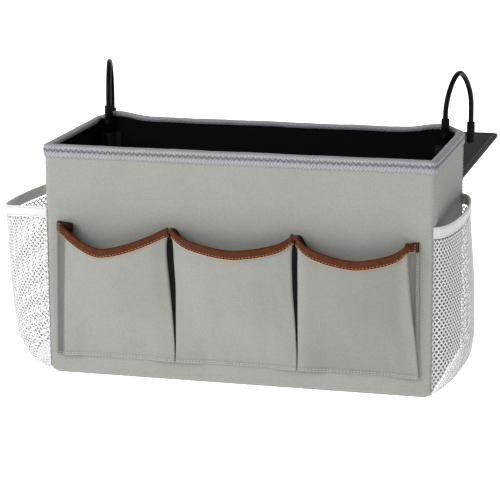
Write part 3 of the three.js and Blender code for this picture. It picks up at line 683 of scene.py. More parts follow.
def makeLining():
    # Flat inner walls with soft waves; the waves die out towards every edge
    thick, wave = liningCloth["thick"], liningCloth["wave"]
    outer = wallThickness - thick / 2
    x, y = box["halfX"] - outer, box["halfY"] - outer
    z = np.linspace(liningCloth["foot"] + 0.4, box["top"], 60)[:, None]
    upperCalm = smoothed((box["top"] - 14 - z) / 25)
    across = np.linspace(-x, x, 110)
    calm = smoothed((x - abs(across)) / 25) * upperCalm
    for name, stands, side, seed in (("liningFrontCloth", "lining_front", -1, 11),
                                     ("liningBackCloth", "lining_back", 1, 12)):
        grid = joined(across, 0, z)
        grid[..., 1] = side * (y - wave * (1 + ripples(grid, 70, seed)) * calm)
        grid[..., 2] += wallRise(grid)
        addCloth(name, grid, grid[..., [0, 2]], thick, "lining", stands)
    across = np.linspace(-y + 0.7, y - 0.7, 50)
    calm = smoothed((y - abs(across)) / 20) * upperCalm
    for name, stands, side, seed in (("liningLeftCloth", "lining_left", -1, 13),
                                     ("liningRightCloth", "lining_right", 1, 14)):
        grid = joined(0, across, z)
        grid[..., 0] = side * (x - wave * (1 + ripples(grid, 60, seed)) * calm)
        addCloth(name, grid, grid[..., 1:], thick, "lining", stands)
    floorX, floorY = x - 0.45, y - 0.45
    grid = plate(floorX, floorY, 2, 4.0, 100, 44)
    calm = smoothed((floorX - abs(grid[..., 0])) / 25) * smoothed((floorY - abs(grid[..., 1])) / 20)
    grid[..., 2] += wave * (1 + ripples(grid, 75, 15)) * calm
    addCloth("liningBaseCloth", grid, grid[..., :2], thick, "lining", "lining_base")


makeLining()
print("lining made")


def roundedPlan(halfX, halfY, radius, steps=(90, 28), cornerSteps=10):
    # Rectangle with round corners, counter-clockwise from the +X side: quarter circles and the runs between
    # them
    centres = np.array([(1, 1), (-1, 1), (-1, -1), (1, -1)]) * [halfX - radius, halfY - radius]
    outline = []
    for quarter, centre in enumerate(centres):
        arc = np.linspace(quarter * quarterTurn, (quarter + 1) * quarterTurn, cornerSteps + 1)
        turn = centre + radius * joined(np.cos(arc), np.sin(arc))
        goal = centres[(quarter + 1) % 4] + turn[-1] - centre
        outline += [turn, mixed(turn[-1], goal, np.linspace(0, 1, steps[quarter % 2] + 1)[1:-1, None])]
    return np.concatenate(outline)


def rimProfile():
    # Distance from the wall's middle and height from the tape's top, round the folded tape: two ribs with a
    # groove between them outside (reach - rib * cosine), half an ellipse over the top, a short leg inside,
    # and the square channel that takes the wall
    channel = wallThickness / 2 + rim["gap"]
    z = np.linspace(-rim["outer"], -rim["roll"], 26)
    up = z + rim["outer"]
    pressed = 0.45 * bell(up, rim["pitch"], 0.8) + 0.5 * bell(up, 0, 0.5)
    wave = np.cos(2 * math.pi * np.minimum(up / rim["pitch"], 1.25))
    outer = joined(channel + rim["leg"] - rim["rib"] * wave - pressed, z)
    half = outer[-1, 0]
    arc = np.linspace(0, math.pi, 22)[1:-1]
    roll = joined(half * np.cos(arc), -rim["roll"] + rim["roll"] * np.sin(arc))
    z = np.linspace(-rim["roll"], -rim["inner"], 10)
    inner = joined(-half + 0.35 * bell(z, -rim["inner"], 0.5), z)
    shelf = box["top"] + 0.15 - rim["top"]
    inside = joined([-channel, -channel, channel, channel], [-rim["inner"], shelf, shelf, -rim["outer"]])
    return np.concatenate([outer, roll, inner, inside]), len(outer), len(outer) + len(roll)


def makeRim():
    # Each point of the profile carried round the box at its own distance, and three rows of stitches
    profile, outerCount, rollEnd = rimProfile()
    loops = []
    for away, z in profile:
        out = away - wallThickness / 2
        plan = roundedPlan(box["halfX"] + out, box["halfY"] + out, max(box["corner"] + out, 1.5))
        loops.append(joined(*plan.T, rim["top"] + z))
    grid = np.array(loops)
    rise = rimRise(grid[..., 0], grid[..., 1])
    rise += 0.16 * ripples(grid * [1, 1, 0], 38, 21) + 0.1 * ripples(grid * [1, 1, 0], 11, 22)
    grid[..., 2] += rise
    along, around = (pathLength(np.vstack([line, line[:1]])) for line in (grid[0], profile))
    faces = wrapped(*grid.shape[:2], True)[1]
    uvs = cornerUv(joined(along, around[:, None]))
    addPiece("rimTape", grid, faces, uvs, "binding", "rim_binding", sharp=60)

    def lineOn(row, turned, lift):
        loop = np.vstack([grid[row], grid[row][:1]])
        normal = unit(np.cross(np.gradient(loop, axis=0), [0, 0, 1.0])) * turned
        return loop + normal * lift, normal

    up = profile[:outerCount, 1] + rim["outer"]
    grooveRow, edgeRow = (int(np.argmin(abs(up - rim[key]))) for key in ("pitch", "edgeUp"))
    rows = []
    for row, turned, lift, wide in ((grooveRow, 1, 0.55, rim["zigWide"]),
                                    (rollEnd + 4, -1, 0.1, rim["innerZigWide"])):
        path, normal = lineOn(row, turned, lift)
        starts, ends, _ = zigzag(path, (0, 0, 1.0), (0, 0, 1.0), wide, rim["zigPitch"])
        run, count = pathLength(path), len(starts)
        rows.append((starts, ends, sampled((np.arange(count) + 0.5) * run[-1] / count, run, normal)))
    addStitches("rimZigzag", rows, 0.15, 0.52, "tapeThread")
    path, normal = lineOn(edgeRow, 1, 0.05)
    seam = seamOf(path, normal, *rim["stitch"])
    addStitches("rimEdgeStitches", [seam], 0.15, 0.3, "tapeThread")


makeRim()
print("rim tape made")

pocket = {
    "foot": 18, "hem": 3.5, "cloth": 1.0, "depth": 14, "deepAt": 121.5, "opening": 0.9, "bulge": 7.5,
    "swollenAt": 95, "foldShare": 0.36, "leastRadius": 0.55, "mostRadius": 2.1, "radiusShare": 0.19,
    "frontTurn": 12, "pressed": 2.9, "pressWide": 21, "pressTop": 66, "tackFrom": 112, "tackTo": 144,
    "edgePower": 1.55, "peakPower": 9, "rows": 80, "stitch": (2.3, 0.8), "hemRows": (19.0, 20.7),
    "parts": (6, 8, 10, 12, 10, 84, 10, 12, 10, 8, 6),             # columns in each part of the plan line
    "heights": (20, 36, 62, 79, 94, 128, 144),                     # where "corner" and "fold" below are given
}
deepFold, openFold = (11, 12, 12, 12, 12, 12, 12), (9, 9, 8, 6.2, 5, 4.2, 4.2)
# Painted shade inside the pleats: where it starts and ends along the plan line and how dark it gets, for the
# pocket cloth and for the leather trim
paintedClothPleatShade, paintedTrimPleatShade = (-0.8, 4.55, 1), (-0.8, 4.55, 0.85)
# Painted shade: each pocket's shade and trimShade entries darken its pleats, and one more entry paints an even
# shade, 0.14 deep, over the right pocket's front
pockets = [
    {"side": "left", "dipAt": -121, "dipTop": 125, "rise": (19.2, 20.8), "lift": (0, 0), "tab": (143.7, 142.5),
     "foldTop": (143.7, 130.5), "seam": ((-171.6, -168.5), (-57.2, -58.3)), "flange": (3.4, 1.6),
     "corner": ((-169.4, -168.4, -166.6, -165.4, -164.1, -161.4, -160.5),
                (-57.9, -57.9, -58.6, -59.4, -60.2, -61.8, -60.4)),
     "fold": (deepFold, deepFold), "topCorner": (-160.5, -60.4), "topDepth": (12, 10.7), "paintedFrontShade": 0,
     "shade": ((-0.2, 6.5, 0.58), paintedClothPleatShade), "trimShade": ((-0.6, 4.55, 0.85), paintedTrimPleatShade)},
    {"side": "middle", "dipAt": 0, "dipTop": 130, "rise": (9.5, 9.5), "lift": (6.5, 6.5), "tab": (142.5, 142.5),
     "foldTop": (130.5, 130.5), "seam": ((-57.2, -58.3), (57, 57)), "flange": (1.6, 1.6),
     "corner": ((-56.5, -55.6, -54.6, -53.8, -53.3, -54.2, -56.2), (56.3, 56.2, 55.6, 54.8, 54, 54, 54.9)),
     "fold": (deepFold, deepFold), "topCorner": (-56.2, 54.9), "topDepth": (10.7, 10.7), "paintedFrontShade": 0,
     "shade": (paintedClothPleatShade, paintedClothPleatShade), "trimShade": (paintedTrimPleatShade, paintedTrimPleatShade)},
    {"side": "right", "dipAt": 112, "dipTop": 126.8, "rise": (10.5, 10.5), "lift": (7.2, 6.6),
     "tab": (142.5, 141.6), "foldTop": (130.5, 141.6), "seam": ((57, 57), (167.6, 166.8)), "flange": (1.6, 4),
     "corner": ((57.7, 58.3, 58.8, 59.2, 59.6, 60.4, 59.1), (167.4, 165.7, 163.4, 161.5, 160.3, 158.1, 157.7)),
     "fold": (deepFold, openFold), "topCorner": (59.1, 158.1), "topDepth": (10.7, 12), "paintedFrontShade": 0.14,
     "shade": (paintedClothPleatShade, (0.5, 4.5, 0.32)), "trimShade": (paintedTrimPleatShade, (-0.8, 1.4, 0.8))},
]
trim = {"height": 8.8, "leather": 1.0, "stitchUp": 2.1, "stitch": (2.2, 0.9), "gap": 0.3}
hemTop = pocket["foot"] + pocket["hem"]
panelFace = -box["halfY"] - 0.3
forwards = (0, -1.0, 0)


def pocketColumns():
    # Whole numbers part the plan line into flange, inner leg, inner fold, outer leg, front corner, front (5
    # to 6), and the same again backwards; the front's columns stand closer together towards its corners
    pieces = []
    for part, count in enumerate(pocket["parts"]):
        s = np.arange(count) / count
        pieces.append(part + (0.5 - 0.5 * np.cos(math.pi * s) if part == 5 else s))
    return np.concatenate(pieces + [[len(pocket["parts"])]])


def atHeight(values, z):
    # Straight lines between the values, rounded off by averaging over 12 mm of height
    fine = np.arange(0.0, 160.0)
    line = np.interp(fine, pocket["heights"], values)
    line = np.convolve(np.pad(line, 6, mode="edge"), np.ones(13) / 13, "valid")
    return np.interp(z, fine, line)


def seamAt(shape, side, z):
    # A straight line from the seam's foot to its top
    return np.interp(z, (pocket["foot"], pocket["tackTo"]), shape["seam"][side])


def pleatSide(shape, side, z, part, s):
    # One side of a pocket at heights z: part 0 to 4 is flange, inner leg, inner fold, outer leg and front
    # corner. Fold and corner are arcs of one radius, a share of the depth; the legs are their common
    # tangents: first leg's angle = angle to the fold's centre - asin(radius / distance), second leg's angle =
    # angle from centre to centre + asin(2 radius / distance). At the hem the pleat is pressed to three layers
    # of cloth.
    inward = 1 if side == 0 else -1
    opened = (np.maximum(z - hemTop, 0) / (pocket["deepAt"] - hemTop)) ** pocket["opening"]
    tacked = smoothed((z - pocket["tackFrom"]) / (pocket["tackTo"] - pocket["tackFrom"]))
    seam = seamAt(shape, side, z)
    root = seam + inward * shape["flange"][side]
    depth = mixed(pocket["depth"], shape["topDepth"][side], tacked) * opened
    depth = (depth ** 3 + pocket["pressed"] ** 3) ** (1 / 3)
    cornerAt = (atHeight(shape["corner"][side], z) - root) * inward
    radius = np.clip(pocket["radiusShare"] * depth, pocket["leastRadius"], pocket["mostRadius"])
    fold = np.stack([atHeight(shape["fold"][side], z) - radius, pocket["foldShare"] * depth])
    corner = np.stack([cornerAt + radius, depth - radius])
    arrive = np.arctan2(fold[1], fold[0]) - np.arcsin(radius / np.hypot(*fold))
    leave = np.arctan2(*(corner - fold)[::-1]) + np.arcsin(2 * radius / np.hypot(*(corner - fold)))

    def onArc(centre, angle):
        return centre + radius * np.stack([np.cos(angle), np.sin(angle)])

    foldStart, foldEnd = onArc(fold, arrive - quarterTurn), onArc(fold, leave - quarterTurn)
    shapes = [
        np.zeros_like(fold), foldStart * s, onArc(fold, mixed(arrive, leave, s) - quarterTurn),
        mixed(foldEnd, onArc(corner, leave + quarterTurn), s),
        onArc(corner, quarterTurn + mixed(leave, math.radians(pocket["frontTurn"]), s)),
    ]
    away, out = (np.select([part == k for k in range(5)], lines) for lines in zip(*shapes))
    onFlange = seam + inward * mixed(trim["gap"] / 2, shape["flange"][side], s)
    return np.where(part == 0, onFlange, root + inward * away), out


def pocketGrid(shape, columns, z):
    # z holds a height for every row and column. Both sides are pleatSide. The front runs straight between the
    # two corners, swells out by a sine across it times a sine of the height, and near the hem it sinks back
    # to the panel away from the pleats, by press * (1 - exp(-(distance from the corner / width) to the fourth
    # power)).
    c = np.broadcast_to(columns, z.shape)
    part = np.minimum(np.floor(c), 10)
    s = c - part
    x, out = pleatSide(shape, 0, z, part, s)
    rightX, rightOut = pleatSide(shape, 1, z, 10 - part, 1 - s)
    cornerEnd = np.full(z.shape, 4.0), np.ones(z.shape)
    startX, startOut = pleatSide(shape, 0, z, *cornerEnd)
    endX, endOut = pleatSide(shape, 1, z, *cornerEnd)
    swell = pocket["bulge"] * np.sin(quarterTurn * np.clip((z - hemTop) / (pocket["swollenAt"] - hemTop), 0, 1))
    away = np.minimum(s, 1 - s) * (endX - startX) / pocket["pressWide"]
    straight = mixed(startOut, endOut, s)
    press = straight * (1 - smoothed((z - hemTop) / (pocket["pressTop"] - hemTop)))
    front = straight + swell * np.sin(math.pi * s) - press * (1 - np.exp(-away ** 4))
    x = np.where(part > 5, rightX, np.where(part == 5, mixed(startX, endX, s), x))
    out = np.where(part > 5, rightOut, np.where(part == 5, front, out))
    return joined(x, panelFace - pocket["cloth"] / 2 - out, z)


def pocketTopLine(shape, columns):
    # Height of the folded trim's top over every column. On the front, from the lowest point outwards: dip +
    # rise * share ** edgePower + lift * share ** peakPower; then down to the inner fold and up to the flange
    probe = pocketGrid(shape, columns, np.full((1, len(columns)), float(pocket["tackTo"])))[0, :, 0]
    topCorner, rise, lift = (np.array(shape[key])[(probe > shape["dipAt"]).astype(int)]
                             for key in ("topCorner", "rise", "lift"))
    away = np.clip((probe - shape["dipAt"]) / (topCorner - shape["dipAt"]), 0, 1)
    edge = shape["dipTop"] + rise * away ** pocket["edgePower"] + lift * away ** pocket["peakPower"]
    for side, c in ((0, columns), (1, 11 - columns)):
        edge = mixed(shape["foldTop"][side], edge, smoothed(c - 3))
        edge = mixed(shape["tab"][side], edge, smoothed(c - 1))
    return edge


def paintedPleatShade(shade, columns):
    # How much painted shade cloth or leather gets inside each pleat: from one place along the plan line to
    # another, falling to 0 over 0.7 of a part; the front counts as parts of 4 mm
    sides = []
    for c, (start, end, dark) in zip((columns, 11 - columns), shade):
        c = np.minimum(c, 5) + np.maximum(c - 5, 0) * 27
        sides.append(smoothed((c - start) / 0.7) * smoothed((end - c) / 0.7) * dark)
    return np.where(columns < 5.5, *sides)


def makePocket(shape, seed):
    # Soft waves over the front, small creases above the hem; the turned-under hem and flanges stand a little
    # proud
    columns = pocketColumns()
    top = pocketTopLine(shape, columns) - trim["leather"] - trim["gap"]
    v = np.concatenate([np.linspace(0, 0.035, 6), np.linspace(0.045, 1, pocket["rows"])])[:, None]
    z = pocket["foot"] + (top - pocket["foot"]) * v
    grid = pocketGrid(shape, columns, z)
    front = smoothed((columns - 5) / 0.12) * smoothed((6 - columns) / 0.12)
    rise = (z - pocket["foot"]) / (pocket["tackTo"] - pocket["foot"])
    soft = 0.6 * ripples(grid * [1, 0, 0.6], 62, seed) * smoothed(rise * 3)
    soft += 0.14 * ripples(grid * [1, 0, 0.5], 27, seed + 20) * smoothed(rise * 4)
    creases = 0.2 * ripples(grid * [1, 0, 0.35], 17, seed + 40) * bell(rise, 0.06, 0.1)
    hemFold = 0.5 * (1 - smoothed((z - hemTop + 0.2) / 0.7))
    seamFold = 0.35 * ((columns <= 1) | (columns >= 10))
    grid[..., 1] -= np.maximum(hemFold, seamFold) + (soft + creases) * front
    across = pathLength(grid[60]) + shape["seam"][0][0]
    piece = addCloth("shadedPocketCloth_" + shape["side"], grid, joined(across, z), pocket["cloth"], "shadedPocketCloth",
                     "pocket_" + shape["side"])
    # Painted shade: dark inside the pleats, and an even painted shade over the front where one is given
    shade = np.maximum(paintedPleatShade(shape["shade"], columns), shape["paintedFrontShade"] * front)
    addPaintedShade(piece, np.tile(shade, 2 * len(z)))


def trimSection():
    # Distance out from the cloth's middle and height above the fold's top, round the folded strip:
    # a front leg, a round fold over the top, a back leg, and the same again inside it
    near = pocket["cloth"] / 2 + trim["gap"]
    far = near + trim["leather"]
    foot = -trim["height"]
    arc = np.linspace(0, math.pi, 11)[1:-1]
    leg = np.concatenate([[foot, foot + 0.25], np.linspace(foot + 0.8, -far, 9)])
    innerLeg = np.linspace(foot, -far, 4)
    outer = np.concatenate([joined(far, leg), joined(far * np.cos(arc), -far + far * np.sin(arc)),
                            joined(-far, leg[::-1])])
    inner = np.concatenate([joined(-near, innerLeg), joined(-near * np.cos(arc), -far + near * np.sin(arc)),
                            joined(near, innerLeg[::-1])])
    # Its stitches pull it in, and the cut edge is pressed thin
    outer[:, 0] -= 0.28 * np.sign(outer[:, 0]) * bell(outer[:, 1], foot + trim["stitchUp"], 0.55)
    outer[[0, -1], 0] += (-0.25, 0.25)
    return outer, inner


def makeTrim(shape, seed):
    # The section carried along the pocket's top line. Each point = top line + section height downwards along
    # the cloth + section distance along the line's level normal; behind the panel's face it is pressed flat.
    columns = pocketColumns()
    top = pocketTopLine(shape, columns)
    strip = pocketGrid(shape, columns, top + np.array([[-trim["height"]], [0.0]]))
    across = np.gradient(strip[1], axis=0)
    normal = unit(joined(across[:, 1], -across[:, 0], 0))
    outer, inner = trimSection()
    section = np.concatenate([outer, inner])
    away, share = section[:, 0, None, None], section[:, 1, None, None] / -trim["height"]
    grid = mixed(strip[1], strip[0], share) + normal * away
    grid[..., 1] = np.minimum(grid[..., 1], panelFace)
    grid += normal * 0.12 * ripples(grid, 21, seed)[..., None] * (away > 1.2)
    girth = pathLength(np.vstack([section, section[:1]]))
    piece = addFolded("trimLeather_" + shape["side"], grid.transpose(1, 0, 2), len(outer), pathLength(strip[1]),
                      girth, "trim", "pocket_trim_" + shape["side"])
    # Painted shade on the leather where it runs into the pleats
    addPaintedShade(piece, np.repeat(paintedPleatShade(shape["trimShade"], columns), len(section)))
    keep = (columns > 0.6) & (columns < 10.4)
    line = mixed(strip[0], strip[1], trim["stitchUp"] / trim["height"]) + normal * (outer[0, 0] + 0.05)
    seam = seamOf(line[keep], normal[keep], *trim["stitch"], 0.02)
    addStitches("trimStitches_" + shape["side"], [seam], 0.12, 0.26, "tanThread")


def pocketSeams():
    # Stitches down the one flange that shows and two rows along the hem, which follow each pocket's own
    # surface
    z = np.linspace(pocket["foot"] + 1, 132, 120)
    paths = [joined(seamAt(pockets[2], 1, z) - 2.2, panelFace - pocket["cloth"] - 0.35, z)]
    columns = pocketColumns()
    onFront = columns[(columns >= 4.7) & (columns <= 6.3)]
    for shape in pockets:
        for height in pocket["hemRows"]:
            path = pocketGrid(shape, onFront, np.full((1, len(onFront)), height))[0]
            paths.append(path - [0, pocket["cloth"] / 2 + 0.5, 0])
    rows = [seamOf(path, forwards, *pocket["stitch"]) for path in paths]
    addStitches("pocketStitches", rows, 0.1, 0.24, "greyThread")


def trimTacks():
    # Dense zigzags over the trims' ends: upright on the two outer tabs, and level across each pair of peaks
    face = panelFace - pocket["cloth"] - 1.5
    dark, light = [], []
    for x, low, high, width in ((-167.0, 134.6, 143.4, 2.4), (165.1, 132.4, 141.3, 2.0)):
        dark.append(zigzag(joined(x, face, np.linspace(low, high, 30)), forwards, (1.0, 0, 0), width, 0.7))
    for x, low, high in ((-165.5, 134.8, 143.4), (-166.9, 134.8, 143.4), (163.1, 132.6, 141.3)):
        light.append(seamOf(joined(x, face - 0.35, np.linspace(low, high, 30)), forwards, 1.5, 1.0))
    for a, b in zip(pockets, pockets[1:]):
        x = np.linspace(a["topCorner"][1] - 1.0, b["topCorner"][0] + 1.0, 12)
        depth = panelFace - a["topDepth"][1] - 1.9
        for height, dip in ((141.6, 0.0), (143.2, -0.1), (144.6, 0.3)):
            dark.append(zigzag(joined(x, depth + dip, height), forwards, (0, 0, 1.0), 1.5, 0.5))
    addStitches("trimTacks", dark, 0.12, 0.22, "brownThread")
    addStitches("tabStitches", light, 0.12, 0.38, "paleThread")


for number, shape in enumerate(pockets):
    makePocket(shape, 31 + number)
    makeTrim(shape, 35 + number)
pocketSeams()
trimTacks()
print("front pockets made")

net = {
    "cloth": 1.2, "foot": 3, "top": 145, "seamFrom": 48, "seamTo": 20, "seamShare": 0.02, "gap": 0.3,
    "yarn": 0.6, "holeYarn": 0.3, "pitch": 4.7, "rowStep": 2.9, "sideShare": 0.17, "holeWide": 0.64,
    "holeHigh": 0.66, "band": 10, "bandCloth": 1.5, "bandGap": 0.35, "stitch": (2.2, 0.7),
    "bandRows": (1.6, 8.6),
}
netTop = float(net["top"] - net["foot"])
nets = [
    {"side": 1, "name": "right", "dip": 0,
     "bulge": ((0, 0), (2, 9), (6, 14), (14, 18.5), (30, 21), (79, 20), (142, 14))},
    {"side": -1, "name": "left", "dip": 10.6,
     "bulge": ((0, 0), (0.6, 18), (2, 31), (6, 40), (14, 47), (27, 52), (50, 55.5), (92, 58), (142, 60))},
]


def netPoint(shape, s, h, wallGap):
    # s runs from 0 at the front seam to 1 at the back seam, h is the height above the net's foot. The first
    # and last seamShare lie round the box's corners on a circle; between them the plan line is half an
    # ellipse: x = root x + (far x - root x) * sin, y = -root y * cos. The line sags by dip * (1 - (y / edge)
    # squared).
    reach, centre = box["corner"] + wallGap, np.array([box["halfX"], box["halfY"]]) - box["corner"]
    s = np.clip(s, 0, 1)
    fromSeam = np.clip(np.minimum(s, 1 - s) / net["seamShare"], 0, 1)
    turn = np.radians(mixed(net["seamFrom"], net["seamTo"], fromSeam))
    last = math.radians(net["seamTo"])
    rootX, rootY = centre + reach * np.array([math.cos(last), math.sin(last)])
    angle = math.pi * np.clip((s - net["seamShare"]) / (1 - 2 * net["seamShare"]), 0, 1)
    onSeam = fromSeam < 1
    farX = box["halfX"] + wallGap + np.interp(h, *zip(*shape["bulge"]))
    x = np.where(onSeam, centre[0] + reach * np.cos(turn), rootX + (farX - rootX) * np.sin(angle))
    y = np.where(onSeam, (centre[1] + reach * np.sin(turn)) * np.where(s < 0.5, -1, 1), -rootY * np.cos(angle))
    sag = shape["dip"] * np.maximum(1 - (y / centre[1]) ** 2, 0) * np.clip(h / netTop, 0, 1)
    return joined(shape["side"] * x, y, net["foot"] + h - sag)


def netCells(shape):
    # Staggered cells, each a hexagon round a smaller hole: the cells' and holes' corners as s and h.
    # The cells are even along the net's true length half way up.
    even = np.linspace(0, 1, 600)
    run = pathLength(netPoint(shape, even, np.full(600, 70.0), 0.9))
    cols, rows = int(round(run[-1] / net["pitch"])), int(round(netTop / net["rowStep"]))
    side, tip = net["sideShare"], 1 - net["sideShare"]
    hexX, hexY = np.array([0.5, 0, -0.5, -0.5, 0, 0.5]), np.array([side, tip, side, -side, -tip, -side])
    r, c = np.meshgrid(np.arange(rows), np.arange(-1, cols + 1), indexing="ij")
    centreX = (c + 0.5 + 0.5 * (r % 2)).reshape(-1, 1)
    centreY = (r + 0.5).reshape(-1, 1)
    cellX = (centreX + np.concatenate([hexX, hexX * net["holeWide"]])) / cols
    cellY = (centreY + np.concatenate([hexY, hexY * net["holeHigh"]])) * (netTop / rows)
    inside = (cellX[:, :6].max(1) > 0.002) & (cellX[:, :6].min(1) < 0.998)
    return np.interp(np.clip(cellX[inside], 0, 1), run / run[-1], even), np.clip(cellY[inside], 0, netTop)


def makeNet(shape):
    # Corners that cells share are merged by rounding their place; each cell becomes six quads on both faces
    # and six round its hole. Points stand half the yarn's thickness off the net's middle along its normal.
    flatS, flatH = netCells(shape)
    keys = np.round(np.stack([flatS * 8000, flatH * 50], -1).reshape(-1, 2)).astype(int)
    _, first, inverse = np.unique(keys, axis=0, return_index=True, return_inverse=True)
    ids = inverse.reshape(-1, 12)
    s, h = flatS.reshape(-1)[first], flatH.reshape(-1)[first]

    def at(stepS, stepH):
        return netPoint(shape, s + stepS, np.clip(h + stepH, 0, netTop), net["gap"] + net["cloth"] / 2)

    middle = at(0, 0)
    normal = unit(np.cross(at(2e-3, 0) - at(-2e-3, 0), at(0, 0.2) - at(0, -0.2)) * shape["side"])
    thick = np.full((len(s), 1), net["yarn"] / 2)
    thick[ids[:, 6:].reshape(-1)] = net["holeYarn"] / 2
    points = np.concatenate([middle + normal * thick, middle - normal * thick])
    back = ids + len(s)
    k = np.arange(6)
    j = (k + 1) % 6
    faces = np.concatenate([
        np.stack([ids[:, k], ids[:, j], ids[:, 6 + j], ids[:, 6 + k]], -1).reshape(-1, 4),
        np.stack([back[:, 6 + k], back[:, 6 + j], back[:, j], back[:, k]], -1).reshape(-1, 4),
        np.stack([ids[:, 6 + k], ids[:, 6 + j], back[:, 6 + j], back[:, 6 + k]], -1).reshape(-1, 4),
    ])
    faces = faces[(np.diff(np.sort(faces, 1), axis=1) > 0).all(1)]
    edges = np.concatenate([faces[:, [k, (k + 1) % 4]] for k in range(4)])
    _, place, uses = np.unique(np.sort(edges, 1), axis=0, return_index=True, return_counts=True)
    edges = edges[place[uses == 1]]                                # the net's own edge, closed front to back
    a, b = edges[(edges < len(s)).all(1)].T
    closing = np.stack([b, a, a + len(s), b + len(s)], -1)
    addPiece("netMesh_" + shape["name"], points, np.concatenate([faces, closing]), None, "net",
             "net_" + shape["name"], sharp=80)


def makeBand(shape):
    # A strip of elastic along the net's top edge, rolled in a little at both its edges and ruffled along its
    # foot
    share, name = net["seamShare"], shape["name"]
    s = np.unique(np.concatenate([np.linspace(0, share, 4), np.linspace(share, 1 - share, 110),
                                  np.linspace(1 - share, 1, 4)]))
    h = np.linspace(0, net["band"], 14)[:, None]
    line = netPoint(shape, s, np.full(len(s), netTop), net["bandGap"] + net["bandCloth"] / 2)
    across = np.gradient(line, axis=0)
    out = unit(joined(across[:, 1], -across[:, 0], 0)) * shape["side"]
    out *= np.where(out[:, :1] * shape["side"] < 0, -1, 1)
    roll = -0.25 * abs(2 * h / net["band"] - 1) ** 6
    ruffle = 0.22 * np.sin(2 * math.pi * s * 30) * smoothed(np.minimum(s, 1 - s) * 14)
    grid = line + out * (roll + ruffle * (1 - h / net["band"]))[..., None]
    grid[..., 2] += 0.3 + h
    uv = joined(pathLength(line), h)
    addCloth("bandElastic_" + name, grid, uv, net["bandCloth"], "elastic", "net_band_" + name, sharp=60)
    rows = []
    for height in net["bandRows"]:
        path = line + out * (net["bandCloth"] / 2 + 0.25) + [0, 0, height]
        rows.append(seamOf(path[3:-3], out[3:-3], *net["stitch"]))
    addStitches("bandStitches_" + name, rows, 0.1, 0.2, "whiteThread")


for shape in nets:
    makeNet(shape)
print("nets made")
for shape in nets:
    makeBand(shape)
print("bands made")

flap = {
    "halfX": 178, "length": 231, "z": 168, "root": 79.1, "board": 1.6, "cover": 0.6, "tapeTop": 173,
    "tapeFoot": 157, "tape": 0.6, "edge": 0.5, "edgeWide": 4.6, "edgeFrom": 5.2, "corner": 5,
    "stitch": (2.6, 0.9),
}
coverFace = flap["board"] / 2 + 0.3                                # the board's half thickness and a gap


def flapCover(name, side, stands):
    # A sheet that starts flat on the hinge tape, turns out over a small radius and runs level to the far
    # edge. Side view: upright line, quarter circle, level line; the last part narrows by the two far corners'
    # circles.
    panel = box["halfY"] + 0.4 + flap["tape"] + flap["cover"] / 2
    turn, start = (2.6, flap["tapeTop"] - 0.8) if side > 0 else (1.6, flap["tapeFoot"] + 0.8)
    level, far = flap["z"] + side * (coverFace + flap["cover"] / 2), flap["root"] + flap["length"] - 0.8
    arc = np.linspace(0, quarterTurn, 9)
    bend = joined(panel + turn - turn * np.cos(arc), level + side * (turn - turn * np.sin(arc)))
    head = resample(np.concatenate([[[panel, start]], bend]), 0.7)
    y = np.concatenate([
        np.linspace(bend[-1, 0] + 0.8, flap["root"] + 8, 14), np.linspace(flap["root"] + 10, far - 6, 66),
        far - 5 + 5 * np.sin(np.linspace(0, quarterTurn, 8)),
    ])
    line = np.concatenate([head, joined(y, level)])
    y, z = line.T[:, :, None]
    over = np.maximum(y - (far - 5), 0)
    wide = flap["halfX"] - 0.8 - (5 - np.sqrt(np.maximum(25 - over ** 2, 0)))
    across = np.linspace(-1, 1, 80)
    grid = joined(wide * across, y, z)
    calm = smoothed((y - flap["root"] - 8) / 25) * smoothed((far - y) / 25) * smoothed((1 - abs(across)) * 6)
    grid[..., 2] += side * 0.14 * ripples(grid, 90, 51) * calm
    uv = joined(grid[..., 0], pathLength(line)[:, None])
    piece = addCloth(name, grid, uv, flap["cover"], "flap", stands, None)
    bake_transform(piece)


def flapPath():
    # Round the flap's three free sides, with round far corners
    far, x, radius = flap["root"] + flap["length"], flap["halfX"], flap["corner"]
    arc = np.linspace(0, quarterTurn, 9)
    side = joined(x, np.linspace(flap["root"] + flap["edgeFrom"], far - radius, 90)[:-1])
    corner = joined(x - radius + radius * np.cos(arc), far - radius + radius * np.sin(arc))
    right = np.concatenate([side, corner])
    across = joined(np.linspace(x - radius, -x + radius, 120)[1:-1], far)
    return np.concatenate([right, across, right[::-1] * [-1, 1]])


def makeFlapEdge():
    # Edge tape: a U section carried round the three free sides. Section = distance in from the edge and
    # height from the flap's middle: straight leg, half an ellipse round the edge, straight leg, and a smaller
    # U inside.
    inner = coverFace + flap["cover"] + 0.05
    outer = inner + flap["edge"]
    arc = np.linspace(-quarterTurn, quarterTurn, 9)[1:-1]
    wide = flap["edgeWide"]
    leg = np.linspace(wide, 1.2, 5)
    outside = np.concatenate([joined(leg, -outer), joined(1 - np.cos(arc), outer * np.sin(arc)),
                              joined(leg[::-1], outer)])
    inside = joined([wide, 0.9, 0.55, 0.55, 0.9, wide], [inner, inner, 0.5, -0.5, -inner, -inner])
    section = np.concatenate([outside, inside])
    path = flapPath()
    along = unit(np.gradient(path, axis=0))
    inward = joined(-along[:, 1], along[:, 0])
    flat = path[:, None] + inward[:, None] * section[:, :1]
    rings = joined(flat[..., 0], flat[..., 1], flap["z"] + section[:, 1])
    girth = pathLength(np.vstack([section, section[:1]]))
    addFolded("flapEdgeTape", rings, len(outside), pathLength(path), girth, "webbing", "flap_binding", "flap")
    rows = []
    for side in (-1, 1):
        line = joined(*(path + inward * 3.4).T, flap["z"] + side * outer)
        rows.append(seamOf(line, (0, 0, side), *flap["stitch"]))
    addStitches("flapStitches", rows, 0.1, 0.2, "blackThread", "flap")


